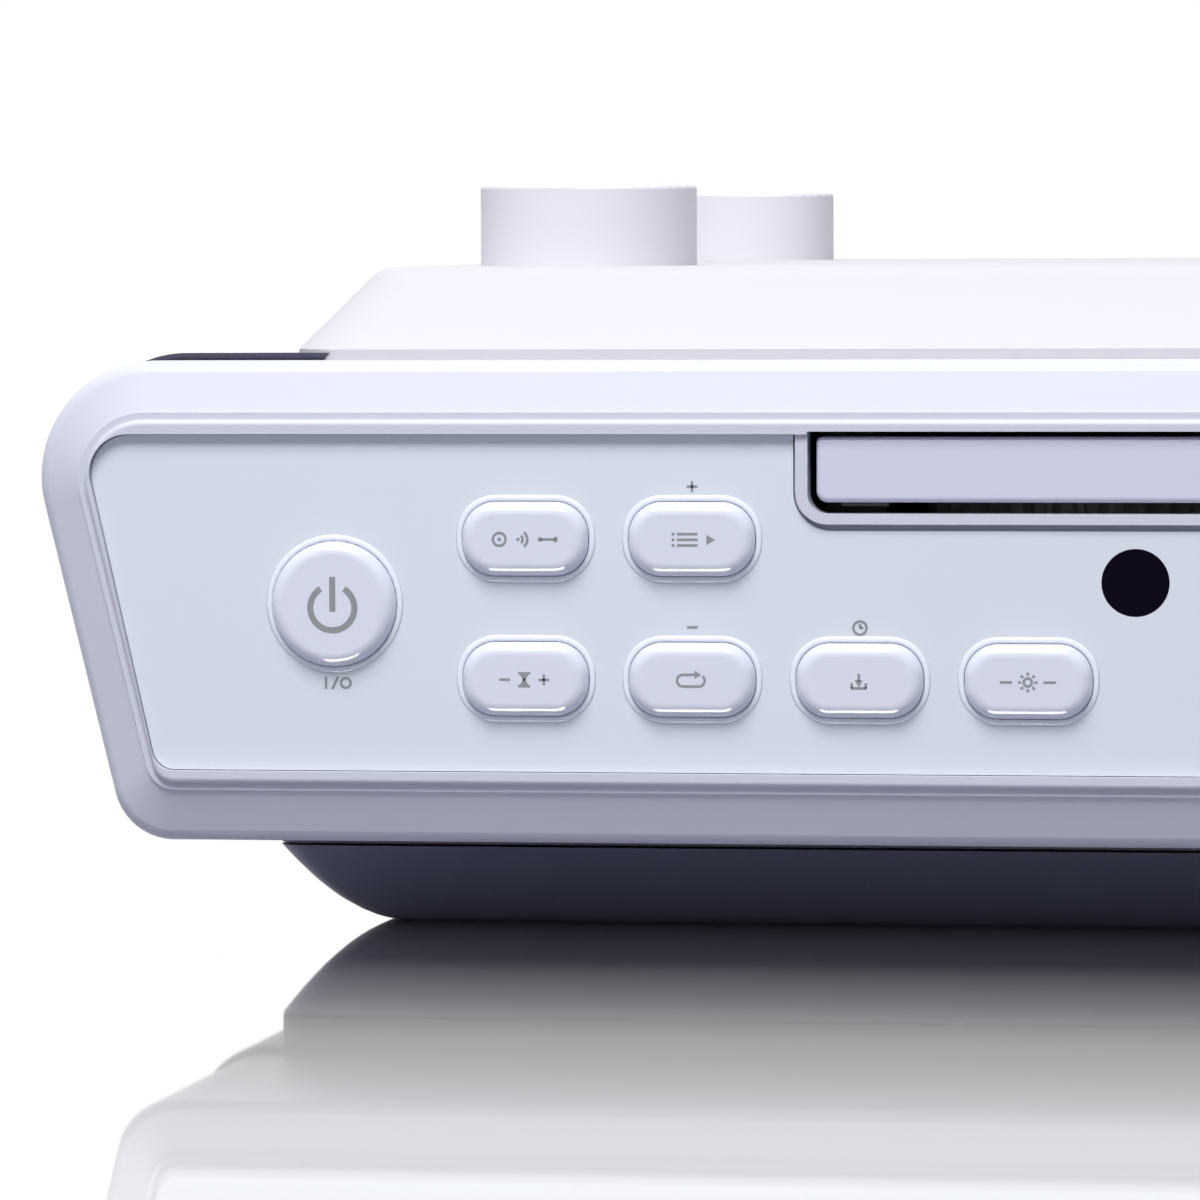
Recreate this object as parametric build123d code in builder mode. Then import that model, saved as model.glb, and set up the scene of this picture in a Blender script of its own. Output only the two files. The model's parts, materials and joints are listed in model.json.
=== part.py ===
from build123d import *
from math import acos, asin, ceil, cos, degrees, pi, radians, sin, sqrt, tan
import os

os.makedirs("parts", exist_ok=True)

# An under-cabinet kitchen radio with a clock and a motorised disc tray, in millimetres.
# X is to the right, Y runs from the front to the back and Z is up from the surface it stands on.
# A "depth" is a distance behind the front face, and a height is measured from the standing surface.

# Overall form
overall_width = 305.2
body_depth = 240.0
dial_reach = 9.0
flange_top = 65.7
flange_bottom = 14.1
side_lean = 13.55
side_draft = 0.06
top_draft = 0.0175
flange_top_r = 12.5
flange_bottom_r = 6.5
wall = 2.2
seam_gap = 0.3

# Front flange, step and bead round the panel
rim_depth = 3.2
flange_face = 1.0
roll_r = 1.9
step_top = 60.2
step_bottom = 19.8
step_side_margin = 6.27
step_top_r = 7.2
step_bottom_r = 3.2
step_face = 0.75
step_width = 0.75
bead_r = 0.6

# Control panel let into the bezel
panel_top = 57.9
panel_bottom = 21.9
panel_side_margin = 2.2
panel_narrowing = 8.0
panel_top_r = 4.2
panel_bottom_r = 2.4
panel_face = 0.9
panel_thickness = 1.1
panel_fit = 0.08
web_thickness = 2.0

# Tray slot and the lip round it
slot_half = 69.3
slot_top = 58.2
slot_bottom = 49.5
slot_r = 2.1
lip_width = 1.3
lip_bottom_width = 1.1
lip_face = 0.4
notch_margin = 0.25
notch_bottom_margin = 0.7

# Parting line of the white front housing: it slants back towards the underside
parting_top_depth = 17.5
parting_bottom_depth = 44.0
cabinet_proud = 0.8

# Belly under the cabinet: an upright collar over a seam, and a tub that rolls in to the standing face
belly_front = 44.8
belly_back_step = 0.6
belly_overhang = 6.3
belly_corner_r = 3.0
belly_inner_r = 2.0
belly_inset = 12.0
belly_roll = 1.75
belly_steps = 5
belly_rise = 5.0
seam_height = 9.7

# Raised platform on top and its mounting spacers
platform_top = 75.5
platform_half = 127.8
platform_front = 17.2
platform_back = body_depth - 9.0
platform_corner_r = 7.0
platform_top_corner_r = 5.0
platform_fit = 0.1
plinth_top = 66.6
plinth_depth = 8.0
platform_slope = 42.6
platform_edge_r = 4.2
platform_wall = 2.2
spacer_r = 12.25
spacer_height = 9.1
spacer_edge_r = 0.5
spacer_half_x = 99.2
spacer_front = 50.0
spacer_back = body_depth - 32.0
mount_hole_r = 2.5
insert_r = 3.5
insert_length = 10.0
insert_boss_r = 6.5

# Keys on the panel, as columns and rows
key_width = 13.5
key_height = 7.9
key_corner_r = 3.6
key_proud = 1.5
key_edge_r = 1.4
key_gap = 0.15
key_travel = 0.5
key_skirt = 0.9
key_skirt_thickness = 1.0
key_stem_r = 1.6
upper_row = 46.8
lower_row = 31.9
column_pitch = 17.8
column_margin = 20.6
power_margin = 19.5
power_height = 39.8
power_r = 6.7

# Volume dial, display and remote-control windows
dial_r = 11.0
dial_shaft_r = 3.0
dial_gap = 0.3
dial_flutes = 24
encoder_half = 6.0
display_margin = 19.5
display_top = 45.0
display_bottom = 25.5
display_r = 1.5
ir_margin = 11.2
ir_height = 42.3
ir_r = 3.5

# Boards behind the panel
board_depth = 11.0
board_thickness = 1.6
board_half = 130.0
board_boss_r = 2.6
board_outer_x = 110.5
board_outer_low = 28.0
board_outer_high = 51.0
board_inner_x = 55.0
board_inner_height = 41.5
board_bottom = 24.5
board_top = 54.5
switch_size = 6.0
switch_height = 3.4

# Disc tray
tray_half = 66.0
tray_top = 56.6
tray_deck = 53.0
tray_bottom = 50.2
runner_width = 5.0
tray_back = 176.0
tray_travel = 135.0
disc_r = 60.0
disc_well_margin = 1.0
disc_well_depth = 1.8
small_disc_r = 40.0
small_well_depth = 0.8
spindle_depth = 74.0
tray_window_r = 20.0
tray_slot_half = 22.0
door_half = 68.4
door_top = 57.6
door_bottom = 50.7
door_thickness = 3.2
door_face = 0.7
door_edge_r = 0.6
door_corner_r = 1.2

# Loading gears
rack_module = 1.0
rack_pitch_x = -58.0
drive_teeth = 30
pinion_teeth = 12
gear_slack = 0.12
drive_depth = 30.0
drive_bottom = 46.0
drive_top = 52.6
gear_post_r = 2.0
running_fit = 0.06
belt_wheel_r = 15.0
belt_wheel_bottom = 42.0
belt_wheel_thickness = 3.0
belt_r = 0.7
motor_x = 18.0
motor_pulley_r = 3.2
motor_r = 12.0
motor_length = 22.0
motor_shaft_r = 1.0

# Loader frame
frame_bottom = 39.4
frame_floor = 1.6
frame_wall = 2.4
frame_top = 59.8
frame_front = 15.0
frame_back = 187.0
frame_gap = 0.4
ledge_thickness = 2.0
frame_opening_half = 46.0
frame_opening_back = 174.0
ear_front = 64.0
ear_back = 180.0
ear_reach = 10.0
screw_r = 1.5
screw_head_r = 2.9
screw_head_height = 1.9
screw_slack = 0.04
case_screw_length = 15.0
loader_screw_length = 10.0
board_screw_length = 6.0

# Pick-up deck
deck_half = 44.0
deck_front = 52.4
deck_back = 173.0
deck_bottom = 43.0
deck_thickness = 2.0
pivot_depth = 168.0
pivot_r = 2.0
deck_drop = 4.5
rod_x = 19.0
rod_r = 1.5
rod_height = 47.7
rod_front = 87.0
rod_rest = 9.0
bracket_thickness = 3.5
sled_half = 23.0
sled_front = 92.0
sled_length = 23.0
sled_bottom = 45.4
sled_top = 50.0
sled_travel = 34.0
rod_back = rod_front + sled_length + sled_travel + rod_rest
lens_radius_min = 24.0
lens_r = 2.6
lens_gap = 0.7
spindle_motor_r = 12.0
seat_height = 55.6
seat_r = 15.0
hub_r = 7.4
hub_height = 2.4
sled_module = 0.8
sled_pinion_teeth = 12
sled_mesh_depth = 126.0
wheel_module = 0.6
wheel_teeth = 28
motor_pinion_teeth = 10
cam_pin_x = 20.0
cam_pin_r = 1.5
cam_travel = 14.0
cam_front = 47.6
cam_thickness = 2.8

# Disc clamp over the tray
bridge_bottom = 59.8
bridge_thickness = 1.8
bridge_half_depth = 14.0
bridge_hole_r = 11.0
clamp_r = 14.0
clamp_neck_r = 10.6
clamp_bottom = 57.0
clamp_flange_r = 13.5

# Speakers, boards and battery bay in the belly
speaker_x = 88.0
speaker_depth = 115.0
speaker_r = 26.0
speaker_height = 20.0
grille_rows = 9
grille_slot = 2.4
grille_r = 21.0
main_board_height = 9.0
main_board_half = 58.0
main_board_front = 66.0
main_board_back = body_depth - 64.0
bay_half = 26.0
bay_length = 25.0
bay_top = 15.5
cell_r = 5.2
cell_length = 44.5
door_lap = 3.0
battery_door_thickness = 1.8
battery_door_recess = 0.2
battery_door_travel = 8.0
bay_back = body_depth - belly_inset - battery_door_travel - door_lap
bay_front = bay_back - bay_length
case_screw_front_x = 112.0
case_screw_back_x = 104.0
case_screw_front = 68.0
case_screw_back = body_depth - 16.4
pillar_r = 3.6
screw_seat = 3.4
opening_half = 106.2
opening_margin = 12.0
vent_count = 11
vent_width = 2.2
vent_height = 24.0
vent_pitch = 5.0
vent_x = 48.0
power_jack_x = -92.0
aux_jack_x = -72.0
jack_height = 32.0
power_jack_r = 4.6
power_plug_r = 2.8
aux_jack_r = 3.4
aux_plug_r = 1.8

# Places worked out from the sizes above
face_y = (dial_reach - body_depth) / 2
lean = radians(side_lean)
flange_half_top = overall_width / 2 - flange_top_r + flange_top_r * (1 + sin(lean)) / cos(lean)
step_half_top = flange_half_top - step_side_margin
panel_half_top = step_half_top - panel_side_margin
panel_half_bottom = panel_half_top - panel_narrowing
power_x = panel_half_bottom - power_margin
columns = [power_x - column_margin - place * column_pitch for place in (3, 2, 1, 0)]
display_half = columns[0] - display_margin
ir_x = columns[0] - ir_margin
panel_back = panel_face + panel_thickness
web_back = panel_back + web_thickness
board_back = board_depth + board_thickness
switch_front = board_depth - switch_height
frame_outer = tray_half + frame_gap + frame_wall
ear_x = frame_outer + ear_reach / 2


def front(depth):
    """An upright plane at a depth, seen from the front: its x is X and its y is the height."""
    return Plane(origin=(0, face_y + depth, 0), x_dir=(1, 0, 0), z_dir=(0, -1, 0))


def side(x):
    """An upright plane across X, seen from the right: its x is Y and its y is the height."""
    return Plane(origin=(x, 0, 0), x_dir=(0, 1, 0), z_dir=(1, 0, 0))


def at(x, depth):
    """A place in plan, by its depth behind the front face."""
    return (x, face_y + depth)


def level(height):
    """A level plane: its x is X and its y is Y."""
    return Plane.XY.offset(height)


def trapezoid(half_top, half_bottom, top, bottom, top_r, bottom_r):
    """An upright trapezoid about the middle, with rounded corners."""
    with BuildSketch() as shape:
        with BuildLine():
            Polyline(
                (-half_bottom, bottom), (half_bottom, bottom),
                (half_top, top), (-half_top, top), close=True,
            )
        make_face()
        fillet(shape.vertices().group_by(Axis.Y)[-1], radius=top_r)
        fillet(shape.vertices().group_by(Axis.Y)[0], radius=bottom_r)
    return shape.sketch


def section(depth, inset=0.0, least_r=0.8):
    """The body's upright cross section at a depth, drawn in by an inset."""
    behind = max(depth - rim_depth, 0)
    top = flange_top - top_draft * behind - inset
    bottom = flange_bottom + inset
    half_top = flange_half_top - side_draft * behind - (flange_top - top) * tan(lean) - inset / cos(lean)
    half_bottom = half_top - (top - bottom) * tan(lean)
    top_r = max(flange_top_r - inset, least_r)
    return trapezoid(half_top, half_bottom, top, bottom, top_r, max(flange_bottom_r - inset, least_r))


def step_outline(inset=0.0):
    """The outline of the step round the bead, drawn in by an inset."""
    half_top = step_half_top - inset * (1 + sin(lean)) / cos(lean)
    top = step_top - inset
    bottom = step_bottom + inset
    half_bottom = half_top - (top - bottom) * tan(lean)
    return trapezoid(half_top, half_bottom, top, bottom, step_top_r - inset, step_bottom_r - inset)


def panel_outline(gap=0.0):
    """The outline of the panel, drawn in by a gap."""
    half_top = panel_half_top - gap
    half_bottom = panel_half_bottom - gap
    return trapezoid(half_top, half_bottom, panel_top - gap, panel_bottom + gap, panel_top_r, panel_bottom_r)


def hanging_slot(half, top, bottom, corner_r):
    """A wide opening with square upper corners and rounded lower ones."""
    with BuildSketch() as shape:
        with Locations((0, (top + bottom) / 2)):
            Rectangle(2 * half, top - bottom)
        fillet(shape.vertices().group_by(Axis.Y)[0], radius=corner_r)
    return shape.sketch


def belly_plan(inset=0.0, corner_r=belly_corner_r):
    """The belly's plan: its sides draw in towards the back."""
    half_bottom = flange_half_top - (flange_top - flange_bottom) * tan(lean)
    half_front = half_bottom - side_draft * (belly_front - rim_depth) - belly_overhang
    half_back = half_front - side_draft * (body_depth - belly_front)
    near = face_y + belly_front + inset
    far = face_y + body_depth - belly_back_step - inset
    with BuildSketch() as shape:
        with BuildLine():
            Polyline(
                (-half_front + inset, near), (half_front - inset, near),
                (half_back - inset, far), (-half_back + inset, far), close=True,
            )
        make_face()
        fillet(shape.vertices(), radius=corner_r)
    return shape.sketch


def belly_collar(inset=0.0, corner_r=belly_corner_r):
    """The belly's upright part over its seam, drawn in by an inset."""
    with BuildPart() as form:
        with BuildSketch(level(seam_height)):
            add(belly_plan(inset, corner_r))
        extrude(amount=flange_bottom + belly_rise - seam_height)
    return form.part


def belly_tub(inset=0.0, corner_r=belly_corner_r):
    """The belly under its seam: plans that draw in along a curve, with an inset for the tub's inside."""
    with BuildPart() as form:
        for step in range(belly_steps + 1):
            share = step / belly_steps
            with BuildSketch(level(inset + (seam_height - inset) * share**belly_roll)):
                add(belly_plan(inset + belly_inset * (1 - share), corner_r))
        loft()
    return form.part


def gear_outline(teeth, module, tooth_at=0.0):
    """A spur gear with involute flanks, and a tooth centred on an angle in degrees."""
    pitch_r = module * teeth / 2
    tip_r = pitch_r + module
    root_r = pitch_r - 1.25 * module
    base_r = pitch_r * cos(radians(20))
    pitch_half = (pi * module / 2 - gear_slack) / (2 * pitch_r)

    def flank(radius):
        pressure = acos(min(base_r / radius, 1))
        return pitch_half + tan(radians(20)) - radians(20) - tan(pressure) + pressure

    points = []
    for tooth in range(teeth):
        centre = radians(tooth_at) + 2 * pi * tooth / teeth
        for radius, turn in (
            (root_r, -flank(root_r)), (pitch_r, -flank(pitch_r)), (tip_r, -flank(tip_r)),
            (tip_r, flank(tip_r)), (pitch_r, flank(pitch_r)), (root_r, flank(root_r)),
        ):
            points.append((radius * cos(centre + turn), radius * sin(centre + turn)))
    with BuildSketch() as shape:
        with BuildLine():
            Polyline(*points, close=True)
        make_face()
    return shape.sketch


def rack_outline(teeth, module, back):
    """A rack along Y with its pitch line on x = 0, teeth towards +X and a gap centred on y = 0."""
    pitch = pi * module
    rise = tan(radians(20)) * module
    half = (pitch / 2 - gear_slack) / 2
    points = [(-back, -pitch / 2), ]
    for tooth in range(teeth):
        centre = (tooth + 0.5) * pitch
        points.append((-1.25 * module, centre - half - 1.25 * rise))
        points.append((module, centre - half + rise))
        points.append((module, centre + half - rise))
        points.append((-1.25 * module, centre + half + 1.25 * rise))
    points.append((-back, (teeth + 0.5) * pitch))
    with BuildSketch() as shape:
        with BuildLine():
            Polyline(*points, close=True)
        make_face()
    return shape.sketch


def finish(builder, name):
    """Label a finished piece and write it."""
    builder.part.label = name
    export_step(builder.part, f"parts/{name}.step")


# The slanted parting plane between the white front housing and the dark cabinet
parting_run = parting_bottom_depth - parting_top_depth
parting_rise = flange_top - flange_bottom
parting_normal = (0, parting_rise, parting_run)
parting_plane = Plane(origin=(0, face_y + parting_bottom_depth, flange_bottom), z_dir=parting_normal)
cabinet_plane = parting_plane.offset(seam_gap)

# Keys: name, x and height of each, the right-hand ones mirroring the left-hand ones
keys = [
    ("source_key", -columns[3], upper_row), ("program_key", -columns[2], upper_row),
    ("timer_key", -columns[3], lower_row), ("repeat_key", -columns[2], lower_row),
    ("memory_key", -columns[1], lower_row), ("display_key", -columns[0], lower_row),
    ("tray_key", columns[2], upper_row), ("alarm_key", columns[3], upper_row),
    ("back_key", columns[0], lower_row), ("play_key", columns[1], lower_row),
    ("forward_key", columns[2], lower_row), ("stop_key", columns[3], lower_row),
]
key_places = [(x, height) for name, x, height in keys]
board_bosses = [
    (way * x, height) for way in (-1, 1) for x, height in (
        (board_outer_x, board_outer_low), (board_outer_x, board_outer_high),
        (board_inner_x, board_inner_height),
    )
]


def key_openings(gap):
    """Openings for all the keys, the power button, the dial, the display and the infrared window."""
    with BuildSketch() as shape:
        with Locations(*key_places):
            RectangleRounded(key_width + 2 * gap, key_height + 2 * gap, key_corner_r + gap)
        with Locations((-power_x, power_height)):
            Circle(power_r + gap)
        with Locations((power_x, power_height)):
            Circle(dial_shaft_r + 3 * gap)
        with Locations((0, (display_top + display_bottom) / 2)):
            display_height = display_top - display_bottom
            RectangleRounded(2 * (display_half + panel_fit), display_height + 2 * panel_fit, display_r)
        with Locations((-ir_x, ir_height)):
            Circle(ir_r + panel_fit)
    return shape.sketch


# White front housing: flange, bead, web behind the panel and the skirt round the body
with BuildPart() as front_bezel:
    with BuildSketch(front(flange_face)):
        add(step_outline())
    with BuildSketch(front(rim_depth)):
        add(section(rim_depth))
    loft()
    with BuildSketch(front(rim_depth)):
        add(section(rim_depth))
    with BuildSketch(front(parting_bottom_depth)):
        add(section(parting_bottom_depth))
    loft()
    rim = front_bezel.edges().filter_by_position(Axis.Y, face_y + rim_depth - 0.01, face_y + rim_depth + 0.01)
    fillet(rim, radius=roll_r)
    with BuildSketch(front(web_back)):
        add(section(web_back, wall))
    with BuildSketch(front(parting_bottom_depth + 1)):
        add(section(parting_bottom_depth + 1, wall))
    loft(mode=Mode.SUBTRACT)
    split(bisect_by=parting_plane, keep=Keep.BOTTOM)
    with BuildSketch(front(flange_face)):
        add(step_outline())
    extrude(amount=flange_face - step_face)
    with BuildSketch(front(step_face)):
        add(step_outline(step_width))
    extrude(amount=step_face)
    fillet(front_bezel.faces().sort_by(Axis.Y)[0].edges(), radius=bead_r)
    with BuildSketch(front(0)):
        add(panel_outline())
        add(hanging_slot(slot_half + lip_width, step_top, slot_bottom - lip_bottom_width, slot_r + lip_width),
            mode=Mode.SUBTRACT)
    extrude(amount=-panel_back, mode=Mode.SUBTRACT)
    with BuildSketch(front(0)):
        lip_half = slot_half + 2 * lip_width
        add(hanging_slot(lip_half, panel_top, slot_bottom - 2 * lip_width, slot_r + lip_width))
    extrude(amount=-lip_face, mode=Mode.SUBTRACT)
    with BuildSketch(front(-1)):
        add(hanging_slot(slot_half, slot_top, slot_bottom, slot_r))
    extrude(amount=-1 - web_back - 1, mode=Mode.SUBTRACT)
    with BuildSketch(front(panel_back - 1)):
        add(key_openings(key_gap))
    extrude(amount=-web_thickness - 2, mode=Mode.SUBTRACT)
    with BuildSketch(front(web_back)):
        with Locations(*board_bosses):
            Circle(board_boss_r)
            Circle(screw_r, mode=Mode.SUBTRACT)
    extrude(amount=web_back - board_depth)
finish(front_bezel, "front_bezel")

# Control panel: a plate with the slot's notch and the openings
with BuildPart() as control_panel:
    with BuildSketch(front(panel_back)):
        add(panel_outline(panel_fit))
        notch_half = slot_half + lip_width + notch_margin
        notch_bottom = slot_bottom - lip_bottom_width - notch_bottom_margin
        add(hanging_slot(notch_half, panel_top + 1, notch_bottom, slot_r + lip_width + notch_bottom_margin),
            mode=Mode.SUBTRACT)
        add(key_openings(key_gap), mode=Mode.SUBTRACT)
    extrude(amount=panel_thickness)
finish(control_panel, "control_panel")

# Capsule keys: a domed cap, a skirt that holds it behind the web and a stem to its switch
skirt_depth = web_back + key_gap
stem_end = switch_front - key_travel - 2 * key_gap
for name, x, height in keys:
    with BuildPart() as key:
        with BuildSketch(front(skirt_depth)):
            with Locations((x, height)):
                RectangleRounded(key_width, key_height, key_corner_r)
        extrude(amount=skirt_depth - panel_face + key_proud)
        fillet(key.faces().sort_by(Axis.Y)[0].edges(), radius=key_edge_r)
        with BuildSketch(front(skirt_depth)):
            with Locations((x, height)):
                RectangleRounded(key_width + 2 * key_skirt, key_height + 2 * key_skirt, key_corner_r)
        extrude(amount=-key_skirt_thickness)
        with BuildSketch(front(skirt_depth + key_skirt_thickness)):
            with Locations((x, height)):
                Circle(key_stem_r)
        extrude(amount=skirt_depth + key_skirt_thickness - stem_end)
    finish(key, name)

# Round power button
with BuildPart() as power_button:
    with BuildSketch(front(skirt_depth)):
        with Locations((-power_x, power_height)):
            Circle(power_r)
    extrude(amount=skirt_depth - panel_face + key_proud)
    fillet(power_button.faces().sort_by(Axis.Y)[0].edges(), radius=key_edge_r)
    with BuildSketch(front(skirt_depth)):
        with Locations((-power_x, power_height)):
            Circle(power_r + key_skirt)
    extrude(amount=-key_skirt_thickness)
    with BuildSketch(front(skirt_depth + key_skirt_thickness)):
        with Locations((-power_x, power_height)):
            Circle(key_stem_r)
    extrude(amount=skirt_depth + key_skirt_thickness - stem_end)
finish(power_button, "power_button")

# Volume dial: a fluted cup on the encoder's shaft
dial_back = panel_face - dial_gap
with BuildPart() as volume_dial:
    with BuildSketch(front(dial_back)):
        with Locations((power_x, power_height)):
            Circle(dial_r)
    extrude(amount=dial_back + dial_reach)
    fillet(volume_dial.faces().sort_by(Axis.Y)[0].edges(), radius=1.2)
    with BuildSketch(front(dial_back)):
        with Locations((power_x, power_height)):
            with PolarLocations(dial_r + 0.35, dial_flutes):
                Circle(0.8)
    extrude(amount=dial_reach - 1.2, mode=Mode.SUBTRACT)
    with BuildSketch(front(dial_back)):
        with Locations((power_x, power_height)):
            Circle(dial_shaft_r)
    extrude(amount=dial_back - board_depth + 2)
finish(volume_dial, "volume_dial")

# Rotary encoder on the key board, with a bore for the dial's shaft
encoder_front = web_back + 1.0
with BuildPart() as volume_encoder:
    with BuildSketch(front(encoder_front)):
        with Locations((power_x, power_height)):
            RectangleRounded(2 * encoder_half, 2 * encoder_half, 1.0)
            Circle(dial_shaft_r + running_fit, mode=Mode.SUBTRACT)
    extrude(amount=encoder_front - board_depth)
finish(volume_encoder, "volume_encoder")

# Clear display window and infrared window, flush with the panel
with BuildPart() as display_window:
    with BuildSketch(front(panel_face)):
        with Locations((0, (display_top + display_bottom) / 2)):
            RectangleRounded(2 * display_half, display_top - display_bottom, display_r)
    extrude(amount=-panel_thickness - web_thickness)
finish(display_window, "display_window")

with BuildPart() as ir_window:
    with BuildSketch(front(panel_face)):
        with Locations((-ir_x, ir_height)):
            Circle(ir_r)
    extrude(amount=-panel_thickness - web_thickness)
finish(ir_window, "ir_window")


def platform_plan(inset=0.0, corner_r=platform_corner_r):
    """The platform's plan at its foot, drawn in by an inset."""
    with BuildSketch() as shape:
        with Locations(at(0, (platform_front + platform_back) / 2)):
            length = platform_back - platform_front - 2 * inset
            RectangleRounded(2 * (platform_half - inset), length, corner_r)
    return shape.sketch


# Dark cabinet: drawn-in body behind the parting plane, with the belly's collar and a seat for the top cover
cabinet_bottom = seam_height + seam_gap
cover_seat_plane = Plane(origin=(0, face_y + rim_depth, flange_top), z_dir=(0, top_draft, 1))
pillar_spots = [(case_screw_front_x, case_screw_front), (case_screw_back_x, case_screw_back)]
pillar_places = [at(way * x, depth) for way in (-1, 1) for x, depth in pillar_spots]
opening_front = platform_front + opening_margin
opening_back = platform_back - opening_margin
with BuildPart() as cover_pocket:
    with BuildSketch(level(plinth_top - plinth_depth)):
        add(platform_plan(-platform_fit, platform_corner_r + platform_fit))
    extrude(amount=2 * plinth_depth)
    split(bisect_by=cover_seat_plane, keep=Keep.TOP)
with BuildPart() as rear_cabinet:
    with BuildSketch(front(rim_depth)):
        add(section(rim_depth, -cabinet_proud))
    with BuildSketch(front(body_depth)):
        add(section(body_depth, -cabinet_proud))
    loft()
    split(bisect_by=cabinet_plane, keep=Keep.TOP)
    add(belly_collar())
    with BuildSketch(front(rim_depth)):
        add(section(rim_depth, wall))
    with BuildSketch(front(body_depth - wall)):
        add(section(body_depth - wall, wall))
    loft(mode=Mode.SUBTRACT)
    add(belly_collar(wall, belly_inner_r), mode=Mode.SUBTRACT)
    split(bisect_by=level(cabinet_bottom), keep=Keep.TOP)
    for x, depth in pillar_spots:
        with BuildSketch(level(seam_height)):
            with Locations(at(-x, depth), at(x, depth)):
                Circle(pillar_r)
        extrude(amount=flange_top - top_draft * (depth - rim_depth) - wall / 2 - seam_height)
    with BuildSketch(level(seam_height)):
        with Locations(*pillar_places):
            Circle(screw_r)
    extrude(amount=case_screw_length, mode=Mode.SUBTRACT)
    add(cover_pocket.part, mode=Mode.SUBTRACT)
    with BuildSketch(level(platform_top)):
        with Locations(at(0, (opening_front + opening_back) / 2)):
            RectangleRounded(2 * opening_half, opening_back - opening_front, 10)
    extrude(amount=cabinet_bottom - platform_top + parting_rise / 2, mode=Mode.SUBTRACT)
    with BuildSketch(front(body_depth + 1)):
        with Locations((vent_x, jack_height)):
            with GridLocations(vent_pitch, 1, vent_count, 1):
                Rectangle(vent_width, vent_height)
        with Locations((power_jack_x, jack_height)):
            Circle(power_jack_r + running_fit)
        with Locations((aux_jack_x, jack_height)):
            Circle(aux_jack_r + running_fit)
    extrude(amount=wall + 2, mode=Mode.SUBTRACT)
finish(rear_cabinet, "rear_cabinet")


# White top cover: a raised platform with slanted sides on a low plinth, and bosses for the inserts
spacer_places = [at(way * spacer_half_x, depth) for way in (-1, 1) for depth in (spacer_front, spacer_back)]
platform_draw = (platform_top - plinth_top) * tan(radians(platform_slope))
with BuildPart() as top_cover:
    with BuildSketch(level(plinth_top)):
        add(platform_plan())
    with BuildSketch(level(platform_top)):
        add(platform_plan(platform_draw, platform_top_corner_r))
    loft()
    fillet(top_cover.faces().sort_by(Axis.Z)[-1].edges(), radius=platform_edge_r)
    with BuildSketch(level(plinth_top)):
        add(platform_plan())
    extrude(amount=-plinth_depth)
    with BuildSketch(level(plinth_top)):
        add(platform_plan(platform_wall, platform_corner_r - platform_wall))
    with BuildSketch(level(platform_top - platform_wall)):
        add(platform_plan(platform_draw, platform_top_corner_r - platform_wall))
    loft(mode=Mode.SUBTRACT)
    with BuildSketch(level(plinth_top)):
        add(platform_plan(platform_wall, platform_corner_r - platform_wall))
    extrude(amount=-plinth_depth, mode=Mode.SUBTRACT)
    split(bisect_by=cover_seat_plane, keep=Keep.TOP)
    with BuildSketch(level(platform_top - platform_wall)):
        with Locations(*spacer_places):
            Circle(insert_boss_r)
    extrude(amount=-insert_length)
    with BuildSketch(level(platform_top)):
        with Locations(*spacer_places):
            Circle(insert_r)
    extrude(amount=-insert_length, mode=Mode.SUBTRACT)
finish(top_cover, "top_cover")

# Threaded brass inserts, modelled at the thread's outer diameter, and the spacers that stand over them
with BuildPart() as threaded_inserts:
    with BuildSketch(level(platform_top)):
        with Locations(*spacer_places):
            Circle(insert_r)
            Circle(mount_hole_r, mode=Mode.SUBTRACT)
    extrude(amount=-insert_length)
finish(threaded_inserts, "threaded_inserts")

with BuildPart() as mounting_spacers:
    with BuildSketch(level(platform_top)):
        with Locations(*spacer_places):
            Circle(spacer_r)
    extrude(amount=spacer_height)
    fillet(mounting_spacers.edges().group_by(Axis.Z)[-1], radius=spacer_edge_r)
    with BuildSketch(level(platform_top)):
        with Locations(*spacer_places):
            Circle(mount_hole_r)
    extrude(amount=spacer_height, mode=Mode.SUBTRACT)
finish(mounting_spacers, "mounting_spacers")

# Base: the belly's lower shell with the speaker grilles, posts and the battery bay
bay_wall = 1.6
door_bed = battery_door_recess + battery_door_thickness
bay_middle = (bay_front + bay_back) / 2
bay_depth = bay_back - bay_front
lap_front = bay_front - door_lap
lap_middle = (lap_front + body_depth) / 2
lap_depth = body_depth - lap_front
with BuildPart() as base_hollow:
    add(belly_tub(wall, belly_inner_r))
    with BuildSketch(level(0)):
        with Locations(at(0, lap_middle - wall)):
            Rectangle(2 * (bay_half + door_lap + 3), lap_depth)
    extrude(amount=wall + door_bed, mode=Mode.SUBTRACT)
tongue_width = 1.2
tongue_rise = 0.8
ear_places = [at(x, depth) for x in (-ear_x, ear_x) for depth in (ear_front, ear_back)]
standoff_places = [at(x, depth) for x in (-main_board_half + 5, main_board_half - 5)
                   for depth in (main_board_front + 5, main_board_back - 5)]
post_r = 4.0
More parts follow.
